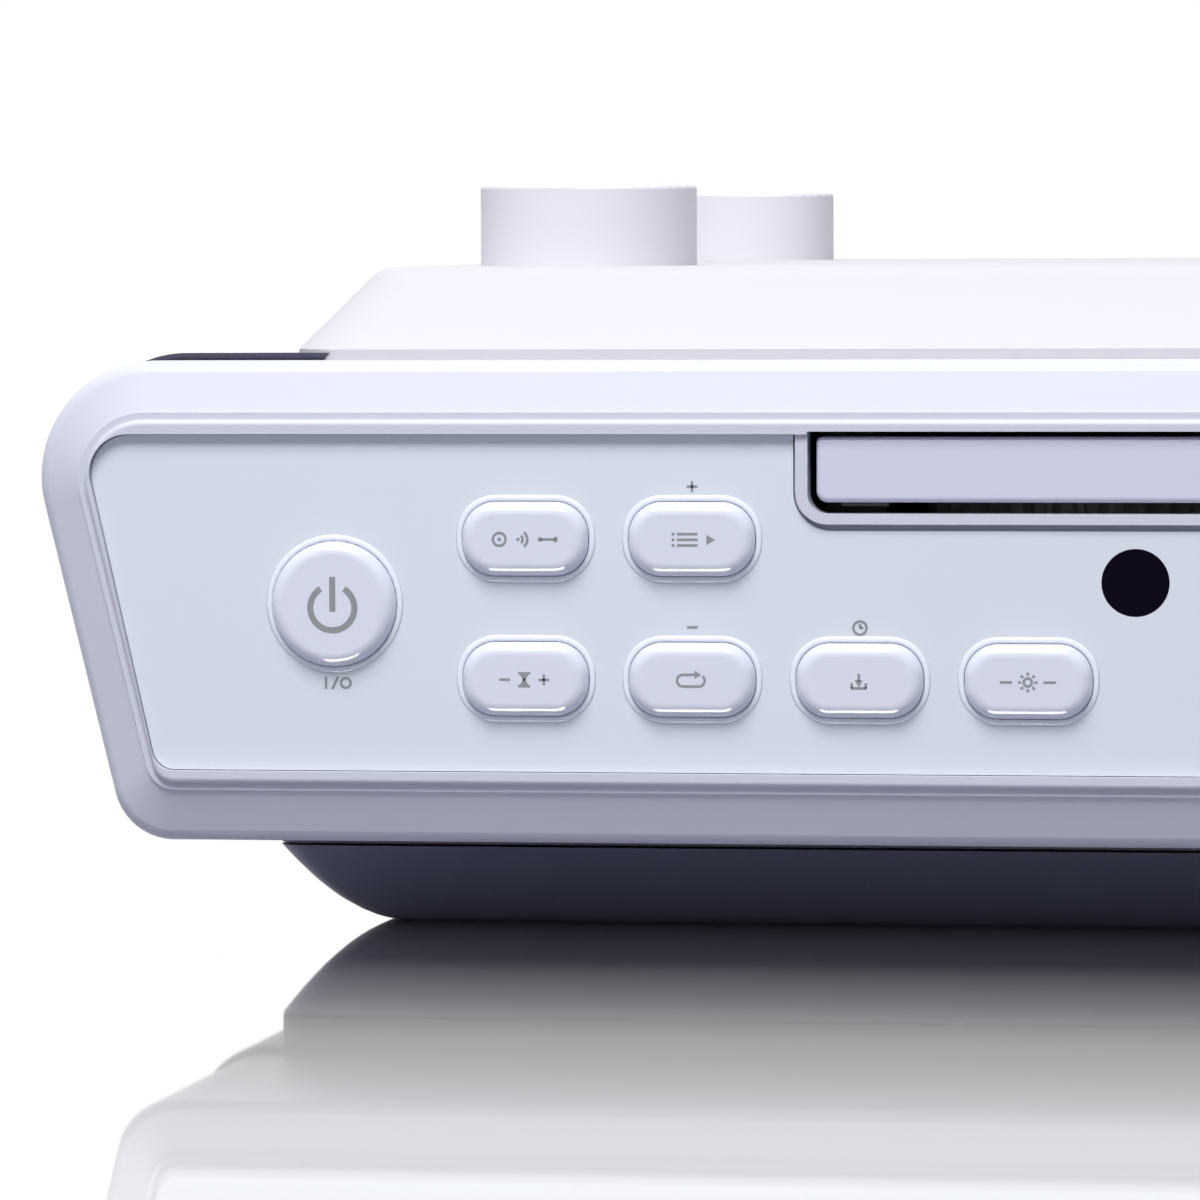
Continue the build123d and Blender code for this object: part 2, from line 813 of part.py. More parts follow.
with BuildPart() as base:
    add(belly_tub())
    add(base_hollow.part, mode=Mode.SUBTRACT)
    with BuildSketch(level(wall)):
        with Locations(at(0, bay_middle)):
            Rectangle(2 * (bay_half + bay_wall), bay_depth + 2 * bay_wall)
    extrude(amount=bay_top - wall)
    with BuildSketch(level(wall)):
        with Locations(*ear_places):
            Circle(post_r)
    extrude(amount=frame_bottom - wall)
    with BuildSketch(level(wall)):
        with Locations(*standoff_places):
            Circle(post_r - 1)
    extrude(amount=main_board_height - wall)
    with BuildSketch(level(wall)):
        with Locations(*pillar_places):
            Circle(pillar_r + 1.5)
    extrude(amount=seam_height - wall)
    with BuildSketch(level(wall)):
        with Locations(at(-speaker_x, speaker_depth), at(speaker_x, speaker_depth)):
            Circle(speaker_r + 1.5)
            Circle(speaker_r - 2.5, mode=Mode.SUBTRACT)
    extrude(amount=1)
    with BuildSketch(level(0)):
        with Locations(at(0, bay_middle)):
            Rectangle(2 * bay_half, bay_depth)
    extrude(amount=bay_top - bay_wall, mode=Mode.SUBTRACT)
    with BuildSketch(level(0)):
        with Locations(at(0, lap_middle)):
            Rectangle(2 * (bay_half + door_lap), lap_depth)
    extrude(amount=door_bed, mode=Mode.SUBTRACT)
    with BuildSketch(level(tongue_rise)):
        with Locations(at(0, lap_middle)):
            Rectangle(2 * (bay_half + door_lap + tongue_width), lap_depth)
    extrude(amount=door_bed - tongue_rise, mode=Mode.SUBTRACT)
    with BuildSketch(level(0)):
        with Locations(at(-speaker_x, speaker_depth), at(speaker_x, speaker_depth)):
            Circle(speaker_r - 1)
    extrude(amount=0.8, mode=Mode.SUBTRACT)
    for row in range(grille_rows):
        reach = (row - (grille_rows - 1) / 2) * 2 * grille_r / (grille_rows + 0.5)
        with BuildSketch(level(0)):
            with Locations(at(reach - speaker_x, speaker_depth), at(reach + speaker_x, speaker_depth)):
                SlotOverall(2 * sqrt(grille_r**2 - reach**2), grille_slot, rotation=90)
        extrude(amount=wall + 1, mode=Mode.SUBTRACT)
    with BuildSketch(level(0)):
        with Locations(*pillar_places):
            Circle(screw_head_r + 0.3)
    extrude(amount=screw_seat, mode=Mode.SUBTRACT)
    with BuildSketch(level(0)):
        with Locations(*pillar_places):
            Circle(screw_r + 0.1)
    extrude(amount=seam_height, mode=Mode.SUBTRACT)
    with BuildSketch(level(frame_bottom)):
        with Locations(*ear_places):
            Circle(screw_r)
    extrude(amount=-12, mode=Mode.SUBTRACT)
    with BuildSketch(level(main_board_height)):
        with Locations(*standoff_places):
            Circle(screw_r)
    extrude(amount=-5, mode=Mode.SUBTRACT)
finish(base, "base")

# Battery door: it slides back in its grooves until its tongues are free
door_slack = 0.15
door_width = 2 * (bay_half + door_lap - door_slack)
door_length = bay_back + door_lap - lap_front - door_slack
with BuildPart() as battery_door:
    with BuildSketch(level(battery_door_recess)):
        with Locations(at(0, lap_front + door_slack + door_length / 2)):
            Rectangle(door_width, door_length)
    extrude(amount=battery_door_thickness - door_slack)
    with BuildSketch(level(tongue_rise + door_slack)):
        with Locations(at(0, lap_front + door_slack + door_length / 2)):
            Rectangle(door_width + 2 * tongue_width, door_length)
    extrude(amount=door_bed - tongue_rise - 2 * door_slack)
    with BuildSketch(level(battery_door_recess)):
        with Locations(at(0, bay_back - 1)):
            with GridLocations(1, 1.6, 1, 3):
                Rectangle(14, 0.8)
    extrude(amount=0.5, mode=Mode.SUBTRACT)
finish(battery_door, "battery_door")

# Two backup cells lying across the bay, and the spring contacts at its ends
cell_height = door_bed + cell_r + 0.3
cell_offset = cell_r + 0.4
cell_places = [(face_y + bay_middle + way * cell_offset, cell_height) for way in (-1, 1)]
with BuildPart() as backup_cells:
    with BuildSketch(side(-cell_length / 2)):
        with Locations(*cell_places):
            Circle(cell_r)
    extrude(amount=cell_length - 1)
    with BuildSketch(side(-cell_length / 2)):
        with Locations(*cell_places):
            Circle(cell_r / 3)
    extrude(amount=cell_length)
finish(backup_cells, "backup_cells")

contact_thickness = 0.4
contact_height = 8.0
with BuildPart() as battery_contacts:
    for x, way in ((-bay_half, 1), (bay_half, -1)):
        with BuildSketch(side(x)):
            with Locations((face_y + bay_middle, door_bed + 1 + contact_height / 2)):
                Rectangle(bay_depth - 2, contact_height)
        extrude(amount=way * contact_thickness)
        with BuildSketch(side(x)):
            with Locations(*cell_places):
                Circle(cell_r * 0.6)
        extrude(amount=way * (bay_half - cell_length / 2 - 0.1), taper=12)
finish(battery_contacts, "battery_contacts")

# Sockets in the back wall
jack_length = 14.0
with BuildPart() as power_jack:
    with BuildSketch(front(body_depth)):
        with Locations((power_jack_x, jack_height)):
            Circle(power_jack_r)
    extrude(amount=jack_length)
    with BuildSketch(front(body_depth)):
        with Locations((power_jack_x, jack_height)):
            Circle(power_plug_r)
            Circle(power_plug_r / 2.6, mode=Mode.SUBTRACT)
    extrude(amount=jack_length - 4, mode=Mode.SUBTRACT)
    with BuildSketch(front(body_depth - wall)):
        with Locations((power_jack_x, jack_height)):
            Circle(power_jack_r + 1.5)
            Circle(power_jack_r, mode=Mode.SUBTRACT)
    extrude(amount=1.5)
finish(power_jack, "power_jack")

with BuildPart() as aux_jack:
    with BuildSketch(front(body_depth)):
        with Locations((aux_jack_x, jack_height)):
            Circle(aux_jack_r)
            Circle(aux_plug_r, mode=Mode.SUBTRACT)
    extrude(amount=jack_length)
    with BuildSketch(front(body_depth - wall)):
        with Locations((aux_jack_x, jack_height)):
            Circle(aux_jack_r + 1.5)
            Circle(aux_jack_r, mode=Mode.SUBTRACT)
    extrude(amount=1.5)
finish(aux_jack, "aux_jack")

# Speakers facing down: a frame with its magnet, and the paper cone with its surround and dust cap
speaker_floor = wall + 1.0
flange_thickness = 1.2
cone_r = speaker_r - 5.0
cone_throat_r = 7.0
cone_height = 9.0
magnet_r = 15.0
magnet_height = 8.0
speaker_spot = (-speaker_x, face_y + speaker_depth, 0)
speaker_axis = Axis(speaker_spot, (0, 0, 1))
speaker_plane = Plane(origin=speaker_spot, x_dir=(1, 0, 0), z_dir=(0, -1, 0))
magnet_bottom = speaker_floor + speaker_height - magnet_height
with BuildPart() as speaker_frames:
    with BuildSketch(speaker_plane):
        with BuildLine():
            Polyline(
                (cone_r + 1.5, speaker_floor), (speaker_r, speaker_floor),
                (speaker_r, speaker_floor + flange_thickness),
                (speaker_r - 2, speaker_floor + flange_thickness), (magnet_r + 1, magnet_bottom),
                (cone_throat_r + 1.2, magnet_bottom), (cone_throat_r + 1.2, magnet_bottom - 1),
                (magnet_r, magnet_bottom - 1), (cone_r + 1.5, speaker_floor + flange_thickness + 0.4),
                close=True,
            )
        make_face()
    revolve(axis=speaker_axis)
    with BuildSketch(level(magnet_bottom)):
        with Locations(at(-speaker_x, speaker_depth)):
            with PolarLocations(speaker_r - 6, 4):
                Rectangle(7, 12)
    extrude(amount=-speaker_height + magnet_height + flange_thickness + 0.8, mode=Mode.SUBTRACT)
    mirror(about=Plane.YZ)
finish(speaker_frames, "speaker_frames")

with BuildPart() as speaker_magnets:
    with BuildSketch(level(magnet_bottom)):
        with Locations(at(-speaker_x, speaker_depth), at(speaker_x, speaker_depth)):
            Circle(magnet_r)
    extrude(amount=magnet_height)
    chamfer(speaker_magnets.edges().group_by(Axis.Z)[-1], length=0.8)
finish(speaker_magnets, "speaker_magnets")

cone_thickness = 0.6
with BuildPart() as speaker_cones:
    with BuildSketch(speaker_plane):
        with BuildLine():
            Polyline(
                (0, speaker_floor + cone_height - 1), (cone_throat_r, speaker_floor + cone_height),
                (cone_r - 2, speaker_floor + 1), (cone_r, speaker_floor + 0.2),
                (cone_r + 1.4, speaker_floor + 0.6),
                (cone_r + 1.4, speaker_floor + 0.6 + cone_thickness),
                (cone_r, speaker_floor + 0.2 + cone_thickness),
                (cone_r - 2, speaker_floor + 1 + cone_thickness * 1.5),
                (cone_throat_r, speaker_floor + cone_height + cone_thickness),
                (0, speaker_floor + cone_height - 1 + cone_thickness), close=True,
            )
        make_face()
    revolve(axis=speaker_axis)
    mirror(about=Plane.YZ)
finish(speaker_cones, "speaker_cones")

# Main board on its standoffs, with its larger components
board_middle = (main_board_front + main_board_back) / 2
board_reach = (main_board_back - main_board_front) / 2


def on_board(x, share):
    """A place on the main board, by its share of the way from the board's middle to its back edge."""
    return at(x, board_middle + share * board_reach)


with BuildPart() as main_board:
    with BuildSketch(level(main_board_height)):
        with Locations(at(0, (main_board_front + main_board_back) / 2)):
            Rectangle(2 * main_board_half, main_board_back - main_board_front)
        with Locations(*standoff_places):
            Circle(screw_r + 0.1, mode=Mode.SUBTRACT)
    extrude(amount=board_thickness)
    with BuildSketch(level(main_board_height + board_thickness)):
        with Locations(on_board(-20, 0), on_board(18, -0.4)):
            Rectangle(14, 14)
        with Locations(on_board(22, 0.35)):
            Rectangle(24, 10)
    extrude(amount=1.6)
    with BuildSketch(level(main_board_height + board_thickness)):
        with Locations(on_board(-44, -0.45), on_board(-44, -0.2), on_board(-44, 0.05), on_board(44, 0.5)):
            Circle(4.5)
    extrude(amount=9)
    with BuildSketch(level(main_board_height + board_thickness)):
        with Locations(on_board(-30, 0.7)):
            with GridLocations(1, 2.4, 1, 5):
                Rectangle(26, 1.0)
        with Locations(on_board(-30, 0.7)):
            Rectangle(26, 3.4)
    extrude(amount=8)
finish(main_board, "main_board")

# Key board behind the web, with one push switch behind each key, the display module and the infrared receiver
board_notch = slot_bottom - 2.5
with BuildPart() as key_board:
    with BuildSketch(front(board_depth)):
        with Locations((0, (board_top + board_bottom) / 2)):
            RectangleRounded(2 * board_half, board_top - board_bottom, 2)
        with Locations((0, board_top)):
            Rectangle(2 * (slot_half + 3), 2 * (board_top - board_notch), mode=Mode.SUBTRACT)
        with Locations(*board_bosses):
            Circle(screw_r + 0.1, mode=Mode.SUBTRACT)
    extrude(amount=-board_thickness)
finish(key_board, "key_board")

switch_places = key_places + [(-power_x, power_height)]
with BuildPart() as key_switches:
    with BuildSketch(front(board_depth)):
        with Locations(*switch_places):
            Rectangle(switch_size, switch_size)
    extrude(amount=switch_height - 1)
    with BuildSketch(front(board_depth)):
        with Locations(*switch_places):
            Circle(switch_size / 4)
    extrude(amount=switch_height)
finish(key_switches, "key_switches")

with BuildPart() as display_module:
    with BuildSketch(front(board_depth)):
        with Locations((0, (display_top + display_bottom) / 2)):
            Rectangle(2 * display_half - 1, display_top - display_bottom)
    extrude(amount=board_depth - web_back - 0.4)
finish(display_module, "display_module")

with BuildPart() as ir_receiver:
    with BuildSketch(front(board_depth)):
        with Locations((-ir_x, ir_height)):
            Rectangle(6, 7)
    extrude(amount=3)
    with BuildSketch(front(board_depth - 3)):
        with Locations((-ir_x, ir_height)):
            Circle(2.4)
    extrude(amount=2)
finish(ir_receiver, "ir_receiver")

# Loader frame: the moulded chassis that carries the tray on ledges, the gears on posts and the deck in blocks
frame_middle = (frame_front + frame_back) / 2
frame_length = frame_back - frame_front
floor_top = frame_bottom + frame_floor
ledge_top = tray_bottom - 0.2
lip_bottom = tray_top + 0.3
drive_x = rack_pitch_x + rack_module * drive_teeth / 2
wheel_x = drive_x + rack_module * (drive_teeth + pinion_teeth) / 2
belt_wheel_top = belt_wheel_bottom + belt_wheel_thickness
pinion_top = ledge_top - 0.3
deck_middle = deck_bottom + deck_thickness / 2
block_inner = frame_opening_half + 0.3
block_thickness = 4.0
cam_left = -10.0
cam_right = 30.0
cam_bottom = 30.4
cam_top = 47.2
channel_wall = 2.0
opening_front_edge = cam_front - frame_gap
with BuildPart() as loader_frame:
    with BuildSketch(level(frame_bottom)):
        with Locations(at(0, frame_middle)):
            Rectangle(2 * frame_outer, frame_length)
        with Locations(at(0, (opening_front_edge + frame_opening_back) / 2)):
            Rectangle(2 * frame_opening_half, frame_opening_back - opening_front_edge, mode=Mode.SUBTRACT)
        with Locations(at(motor_x, drive_depth)):
            Circle(2 * motor_shaft_r, mode=Mode.SUBTRACT)
    extrude(amount=frame_floor)
    for way in (-1, 1):
        with BuildSketch(front(frame_front)):
            with Locations((way * (frame_outer - frame_wall / 2), (frame_bottom + frame_top) / 2)):
                Rectangle(frame_wall, frame_top - frame_bottom)
            with Locations((way * (tray_half + 1.2 - runner_width / 2), ledge_top - ledge_thickness / 2)):
                Rectangle(runner_width, ledge_thickness)
        extrude(amount=-frame_length)
    for depth, length in ((30.0, 26.0), (112.0, 26.0)):
        with BuildSketch(level(lip_bottom)):
            with Locations(at(-tray_half + 0.5, depth), at(tray_half - 0.5, depth)):
                Rectangle(3.0, length)
        extrude(amount=1.6)
    with BuildSketch(front(frame_back)):
        with Locations((0, (frame_bottom + ledge_top) / 2)):
            Rectangle(2 * frame_outer, ledge_top - frame_bottom)
    extrude(amount=2.0)
    with BuildSketch(level(frame_bottom)):
        with Locations(*ear_places):
            RectangleRounded(ear_reach + 2, ear_reach, 1.5)
        with Locations(*ear_places):
            Circle(screw_r + 0.1, mode=Mode.SUBTRACT)
    extrude(amount=frame_floor)
    with BuildSketch(level(floor_top)):
        with Locations(at(drive_x, drive_depth)):
            Circle(2 * gear_post_r)
    extrude(amount=drive_bottom - floor_top - 0.1)
    with BuildSketch(level(floor_top)):
        with Locations(at(drive_x, drive_depth)):
            Circle(gear_post_r)
    extrude(amount=drive_top - floor_top)
    with BuildSketch(level(floor_top)):
        with Locations(at(wheel_x, drive_depth)):
            Circle(1.6 * gear_post_r)
    extrude(amount=belt_wheel_bottom - floor_top - 0.1)
    with BuildSketch(level(floor_top)):
        with Locations(at(wheel_x, drive_depth)):
            Circle(gear_post_r)
    extrude(amount=pinion_top + 0.3 - floor_top)
    for x in (-block_inner - block_thickness, block_inner):
        with BuildSketch(side(x)):
            with Locations((face_y + pivot_depth, (floor_top + deck_middle + 2 * pivot_r) / 2)):
                Rectangle(10, deck_middle + 2 * pivot_r - floor_top)
            with Locations((face_y + pivot_depth, deck_middle)):
                Circle(pivot_r + running_fit, mode=Mode.SUBTRACT)
        extrude(amount=block_thickness)
    with BuildSketch(side(cam_left)):
        with BuildLine():
            wall_front = face_y + opening_front_edge - channel_wall
            wall_back = face_y + opening_front_edge
            shelf_back = face_y + cam_front + cam_thickness
            Polyline(
                (wall_front, frame_bottom), (wall_front, cam_bottom - 2), (shelf_back, cam_bottom - 2),
                (shelf_back, cam_bottom - 0.2), (wall_back, cam_bottom - 0.2), (wall_back, frame_bottom),
                close=True,
            )
        make_face()
    extrude(amount=cam_right + cam_travel - cam_left)
finish(loader_frame, "loader_frame")

# Disc tray: two disc wells, a slot open to the rear for the pick-up, runners and the drive rack
rack_pitch = pi * rack_module
rack_teeth = ceil(tray_travel / rack_pitch) + 5
rack_lead = 3
tray_front = door_face + door_thickness
tray_length = tray_back - tray_front
with BuildPart() as disc_tray:
    with BuildSketch(level(tray_deck)):
        with Locations(at(0, (tray_front + tray_back) / 2)):
            Rectangle(2 * tray_half, tray_length)
    extrude(amount=tray_top - tray_deck)
    with BuildSketch(level(tray_bottom)):
        for way in (-1, 1):
            with Locations(at(way * (tray_half - runner_width / 2), (tray_front + tray_back) / 2)):
                Rectangle(runner_width, tray_length)
    extrude(amount=tray_deck - tray_bottom)
    with BuildSketch(level(tray_top)):
        with Locations(at(0, spindle_depth)):
            Circle(disc_r + disc_well_margin)
    extrude(amount=-disc_well_depth, mode=Mode.SUBTRACT)
    with BuildSketch(level(tray_top - disc_well_depth)):
        with Locations(at(0, spindle_depth)):
            Circle(small_disc_r + disc_well_margin)
    extrude(amount=-small_well_depth, mode=Mode.SUBTRACT)
    with BuildSketch(level(tray_top)):
        with Locations(at(0, spindle_depth)):
            Circle(tray_window_r)
        with Locations(at(0, (spindle_depth + tray_back) / 2)):
            Rectangle(2 * tray_slot_half, tray_back - spindle_depth)
    extrude(amount=-tray_top + tray_deck, mode=Mode.SUBTRACT)
    rack_start = face_y + drive_depth - rack_lead * rack_pitch
    with BuildSketch(Plane(origin=(rack_pitch_x, rack_start, tray_bottom))):
        add(rack_outline(rack_teeth, rack_module, tray_half - runner_width + rack_pitch_x))
    extrude(amount=tray_deck - tray_bottom)
finish(disc_tray, "disc_tray")

# Tray door, clipped to the tray's front
with BuildPart() as tray_door:
    with BuildSketch(front(tray_front)):
        with Locations((0, (door_top + door_bottom) / 2)):
            Rectangle(2 * door_half, door_top - door_bottom)
    extrude(amount=door_thickness)
    upright = tray_door.edges().filter_by(Axis.Y)
    fillet(upright.group_by(Axis.Z)[0], radius=door_corner_r)
    fillet(upright.group_by(Axis.Z)[-1], radius=door_edge_r)
    fillet(tray_door.faces().sort_by(Axis.Y)[0].edges(), radius=door_edge_r)
finish(tray_door, "tray_door")

# Drive gear: its lower teeth take the pinion and its upper teeth the tray's rack
with BuildPart() as drive_gear:
    with BuildSketch(Plane(origin=(*at(drive_x, drive_depth), drive_bottom))):
        add(gear_outline(drive_teeth, rack_module, 180))
        Circle(gear_post_r + running_fit, mode=Mode.SUBTRACT)
    extrude(amount=drive_top - drive_bottom)
finish(drive_gear, "drive_gear")

# Belt wheel with its groove and pinion
groove_depth = 1.2
groove_half = 0.9
wheel_middle = belt_wheel_bottom + belt_wheel_thickness / 2


def grooved_profile(outer_r, inner_r):
    """Half the section of a pulley with a square groove."""
    groove_r = outer_r - groove_depth
    low = belt_wheel_bottom
    high = belt_wheel_top
    with BuildSketch() as shape:
        with BuildLine():
            Polyline(
                (inner_r, low), (outer_r, low), (outer_r, wheel_middle - groove_half),
                (groove_r, wheel_middle - groove_half), (groove_r, wheel_middle + groove_half),
                (outer_r, wheel_middle + groove_half), (outer_r, high), (inner_r, high), close=True,
            )
        make_face()
    return shape.sketch


def upright_at(x, depth):
    """An upright plane facing the front through a vertical axis."""
    return Plane(origin=(*at(x, depth), 0), x_dir=(1, 0, 0), z_dir=(0, -1, 0))


def axis_at(x, depth):
    """A vertical axis."""
    return Axis((*at(x, depth), 0), (0, 0, 1))


with BuildPart() as belt_wheel:
    with BuildSketch(upright_at(wheel_x, drive_depth)):
        add(grooved_profile(belt_wheel_r, gear_post_r + running_fit))
    revolve(axis=axis_at(wheel_x, drive_depth))
    with BuildSketch(Plane(origin=(*at(wheel_x, drive_depth), belt_wheel_top))):
        add(gear_outline(pinion_teeth, rack_module, 180 + 180 / pinion_teeth))
        Circle(gear_post_r + running_fit, mode=Mode.SUBTRACT)
    extrude(amount=pinion_top - belt_wheel_top)
finish(belt_wheel, "belt_wheel")

# Motor pulley on the motor's shaft, and the belt between the two grooves
with BuildPart() as motor_pulley:
    with BuildSketch(upright_at(motor_x, drive_depth)):
        add(grooved_profile(motor_pulley_r, 0))
    revolve(axis=axis_at(motor_x, drive_depth))
    with BuildSketch(level(belt_wheel_bottom)):
        with Locations(at(motor_x, drive_depth)):
            Circle(motor_shaft_r)
    extrude(amount=frame_bottom - 4 - belt_wheel_bottom)
finish(motor_pulley, "motor_pulley")


def belt_outline(gap):
    """The belt's run round both grooves, a gap outside their floors."""
    with BuildSketch() as shape:
        with Locations(at(wheel_x, drive_depth)):
            Circle(belt_wheel_r - groove_depth + gap)
        with Locations(at(motor_x, drive_depth)):
            Circle(motor_pulley_r - groove_depth + gap)
        make_hull()
    return shape.sketch


with BuildPart() as drive_belt:
    with BuildSketch(level(wheel_middle - belt_r)):
        add(belt_outline(0.05 + 2 * belt_r * 0.75))
        add(belt_outline(0.05), mode=Mode.SUBTRACT)
    extrude(amount=2 * belt_r)
finish(drive_belt, "drive_belt")

with BuildPart() as loading_motor:
    with BuildSketch(level(frame_bottom)):
        with Locations(at(motor_x, drive_depth)):
            Circle(motor_r)
    extrude(amount=-motor_length)
    with BuildSketch(level(frame_bottom)):
        with Locations(at(motor_x, drive_depth)):
            Circle(motor_shaft_r + running_fit)
    extrude(amount=-5, mode=Mode.SUBTRACT)
    chamfer(loading_motor.edges().group_by(Axis.Z)[0], length=1)
finish(loading_motor, "loading_motor")

# Pick-up deck: it tips down about its rear pivots while the tray moves
deck_top = deck_bottom + deck_thickness
sled_pinion_x = sled_half + 1.2 + sled_module * sled_pinion_teeth / 2
sled_post_r = 1.5
wheel_low = sled_top + 0.5
wheel_high = wheel_low + 1.5
motor_gap = wheel_module * (wheel_teeth + motor_pinion_teeth) / 2
sled_motor_depth = sled_mesh_depth - motor_gap
bracket_x = (rod_x - 3.5 + sled_half - 1.2) / 2
bracket_width = sled_half - 1.2 - rod_x + 3.5
with BuildPart() as pickup_deck:
    with BuildSketch(level(deck_bottom)):
        with Locations(at(0, (deck_front + deck_back) / 2)):
            RectangleRounded(2 * deck_half, deck_back - deck_front, 3)
        with Locations(at(0, spindle_depth)):
            Circle(5, mode=Mode.SUBTRACT)
        with Locations(at(0, (sled_front + rod_back) / 2)):
            Rectangle(30, rod_back - sled_front, mode=Mode.SUBTRACT)
        with Locations(at(sled_pinion_x, sled_motor_depth)):
            Circle(1.5, mode=Mode.SUBTRACT)
        with Locations(at(-33, 110), at(-33, 140)):
            RectangleRounded(12, 22, 2, mode=Mode.SUBTRACT)
    extrude(amount=deck_thickness)
    for way in (-1, 1):
        with BuildSketch(level(deck_top)):
            with Locations(at(way * (deck_half - 0.9), (deck_front + deck_back) / 2)):
                Rectangle(1.8, deck_back - deck_front - 6)
        extrude(amount=2.5)
        with BuildSketch(side(way * (deck_half - 1.8))):
            with Locations((face_y + pivot_depth, deck_middle)):
                Circle(pivot_r)
        extrude(amount=way * (block_inner + block_thickness - deck_half + 1))
        with BuildSketch(level(deck_top)):
            with Locations(at(way * bracket_x, rod_front - bracket_thickness / 2 + 1.5),
                           at(way * bracket_x, rod_back + bracket_thickness / 2 - 1.5)):
                Rectangle(bracket_width, bracket_thickness)
        extrude(amount=sled_top - deck_top)
    with BuildSketch(front(rod_back)):
        with Locations((-rod_x, rod_height), (rod_x, rod_height)):
            Circle(rod_r + 0.02)
    extrude(amount=rod_back - rod_front, mode=Mode.SUBTRACT)
    with BuildSketch(front(deck_front)):
        with Locations((cam_pin_x, deck_middle)):
            Circle(cam_pin_r)
    extrude(amount=deck_front - cam_front)
    with BuildSketch(level(deck_top)):
        with Locations(at(sled_pinion_x, sled_mesh_depth)):
            Circle(sled_post_r + 1)
    extrude(amount=rod_height - 0.6 - deck_top)
    with BuildSketch(level(deck_top)):
        with Locations(at(sled_pinion_x, sled_mesh_depth)):
            Circle(sled_post_r)
    extrude(amount=wheel_high + 0.1 - deck_top)
finish(pickup_deck, "pickup_deck")

with BuildPart() as guide_rods:
    with BuildSketch(front(rod_back)):
        with Locations((-rod_x, rod_height), (rod_x, rod_height)):
            Circle(rod_r)
    extrude(amount=rod_back - rod_front)
finish(guide_rods, "guide_rods")

# Spindle motor under the deck, and the turntable on its shaft
motor_top = deck_bottom
with BuildPart() as spindle_motor:
    with BuildSketch(level(motor_top)):
        with Locations(at(0, spindle_depth)):
            Circle(spindle_motor_r)
    extrude(amount=-6.5)
    with BuildSketch(level(motor_top)):
        with Locations(at(0, spindle_depth)):
            Circle(motor_shaft_r + running_fit)
    extrude(amount=-4, mode=Mode.SUBTRACT)
    chamfer(spindle_motor.edges().group_by(Axis.Z)[0], length=0.8)
finish(spindle_motor, "spindle_motor")

with BuildPart() as turntable:
    with BuildSketch(upright_at(0, spindle_depth)):
        with BuildLine():
            Polyline(
                (0, motor_top - 3), (motor_shaft_r, motor_top - 3),
                (motor_shaft_r, deck_top + 1), (4, deck_top + 1),
                (4, seat_height - 2), (seat_r, seat_height - 2), (seat_r, seat_height), (hub_r, seat_height),
                (hub_r - 0.2, seat_height + 1), (hub_r - 1.6, seat_height + hub_height),
                (0, seat_height + hub_height),
                close=True,
            )
        make_face()
    revolve(axis=axis_at(0, spindle_depth))
finish(turntable, "turntable")

# Pick-up sled with its rack, and the lens
sled_pitch = pi * sled_module
sled_rack_teeth = ceil(sled_travel / sled_pitch) + 2
sled_rack_x = sled_half + 1.2
lens_depth = spindle_depth + lens_radius_min
lens_base = sled_top + 2.0
with BuildPart() as pickup_sled:
    with BuildSketch(level(sled_bottom)):
        with Locations(at(0, sled_front + sled_length / 2)):
            RectangleRounded(2 * sled_half, sled_length, 2)
    extrude(amount=sled_top - sled_bottom)
    with BuildSketch(level(sled_top)):
        with Locations(at(0, sled_front + sled_length / 2 - 2)):
            RectangleRounded(20, 17, 2)
    extrude(amount=lens_base - sled_top)
    rack_start = face_y + sled_mesh_depth - (sled_rack_teeth - 1) * sled_pitch
    with BuildSketch(Plane(origin=(sled_rack_x, rack_start, rod_height - 0.3))):
        add(rack_outline(sled_rack_teeth, sled_module, 2.0))
    extrude(amount=sled_top - rod_height + 0.3)
    with BuildSketch(front(sled_front - 1)):
        with Locations((-rod_x, rod_height), (rod_x, rod_height)):
            Circle(rod_r + running_fit)
    extrude(amount=-sled_length - 2, mode=Mode.SUBTRACT)
finish(pickup_sled, "pickup_sled")

with BuildPart() as pickup_lens:
    with BuildSketch(level(lens_base + lens_gap)):
        with Locations(at(0, lens_depth)):
            Circle(lens_r)
    extrude(amount=1.2)
    fillet(pickup_lens.edges().group_by(Axis.Z)[-1], radius=0.6)
finish(pickup_lens, "pickup_lens")

# Sled gear and the sled motor under the deck with its pinion
with BuildPart() as sled_gear:
    with BuildSketch(Plane(origin=(*at(sled_pinion_x, sled_mesh_depth), rod_height - 0.5))):
        add(gear_outline(sled_pinion_teeth, sled_module, 180))
        Circle(sled_post_r + running_fit, mode=Mode.SUBTRACT)
    extrude(amount=wheel_low - rod_height + 0.5)
    with BuildSketch(Plane(origin=(*at(sled_pinion_x, sled_mesh_depth), wheel_low))):
        add(gear_outline(wheel_teeth, wheel_module, -90))
        Circle(sled_post_r + running_fit, mode=Mode.SUBTRACT)
    extrude(amount=wheel_high - wheel_low)
finish(sled_gear, "sled_gear")

sled_shaft_r = 0.75
with BuildPart() as sled_motor:
    with BuildSketch(level(deck_bottom)):
        with Locations(at(sled_pinion_x, sled_motor_depth)):
            Circle(7.5)
    extrude(amount=-12)
    with BuildSketch(level(deck_bottom)):
        with Locations(at(sled_pinion_x, sled_motor_depth)):
            Circle(sled_shaft_r + running_fit)
    extrude(amount=-5, mode=Mode.SUBTRACT)
    chamfer(sled_motor.edges().group_by(Axis.Z)[0], length=0.8)
finish(sled_motor, "sled_motor")

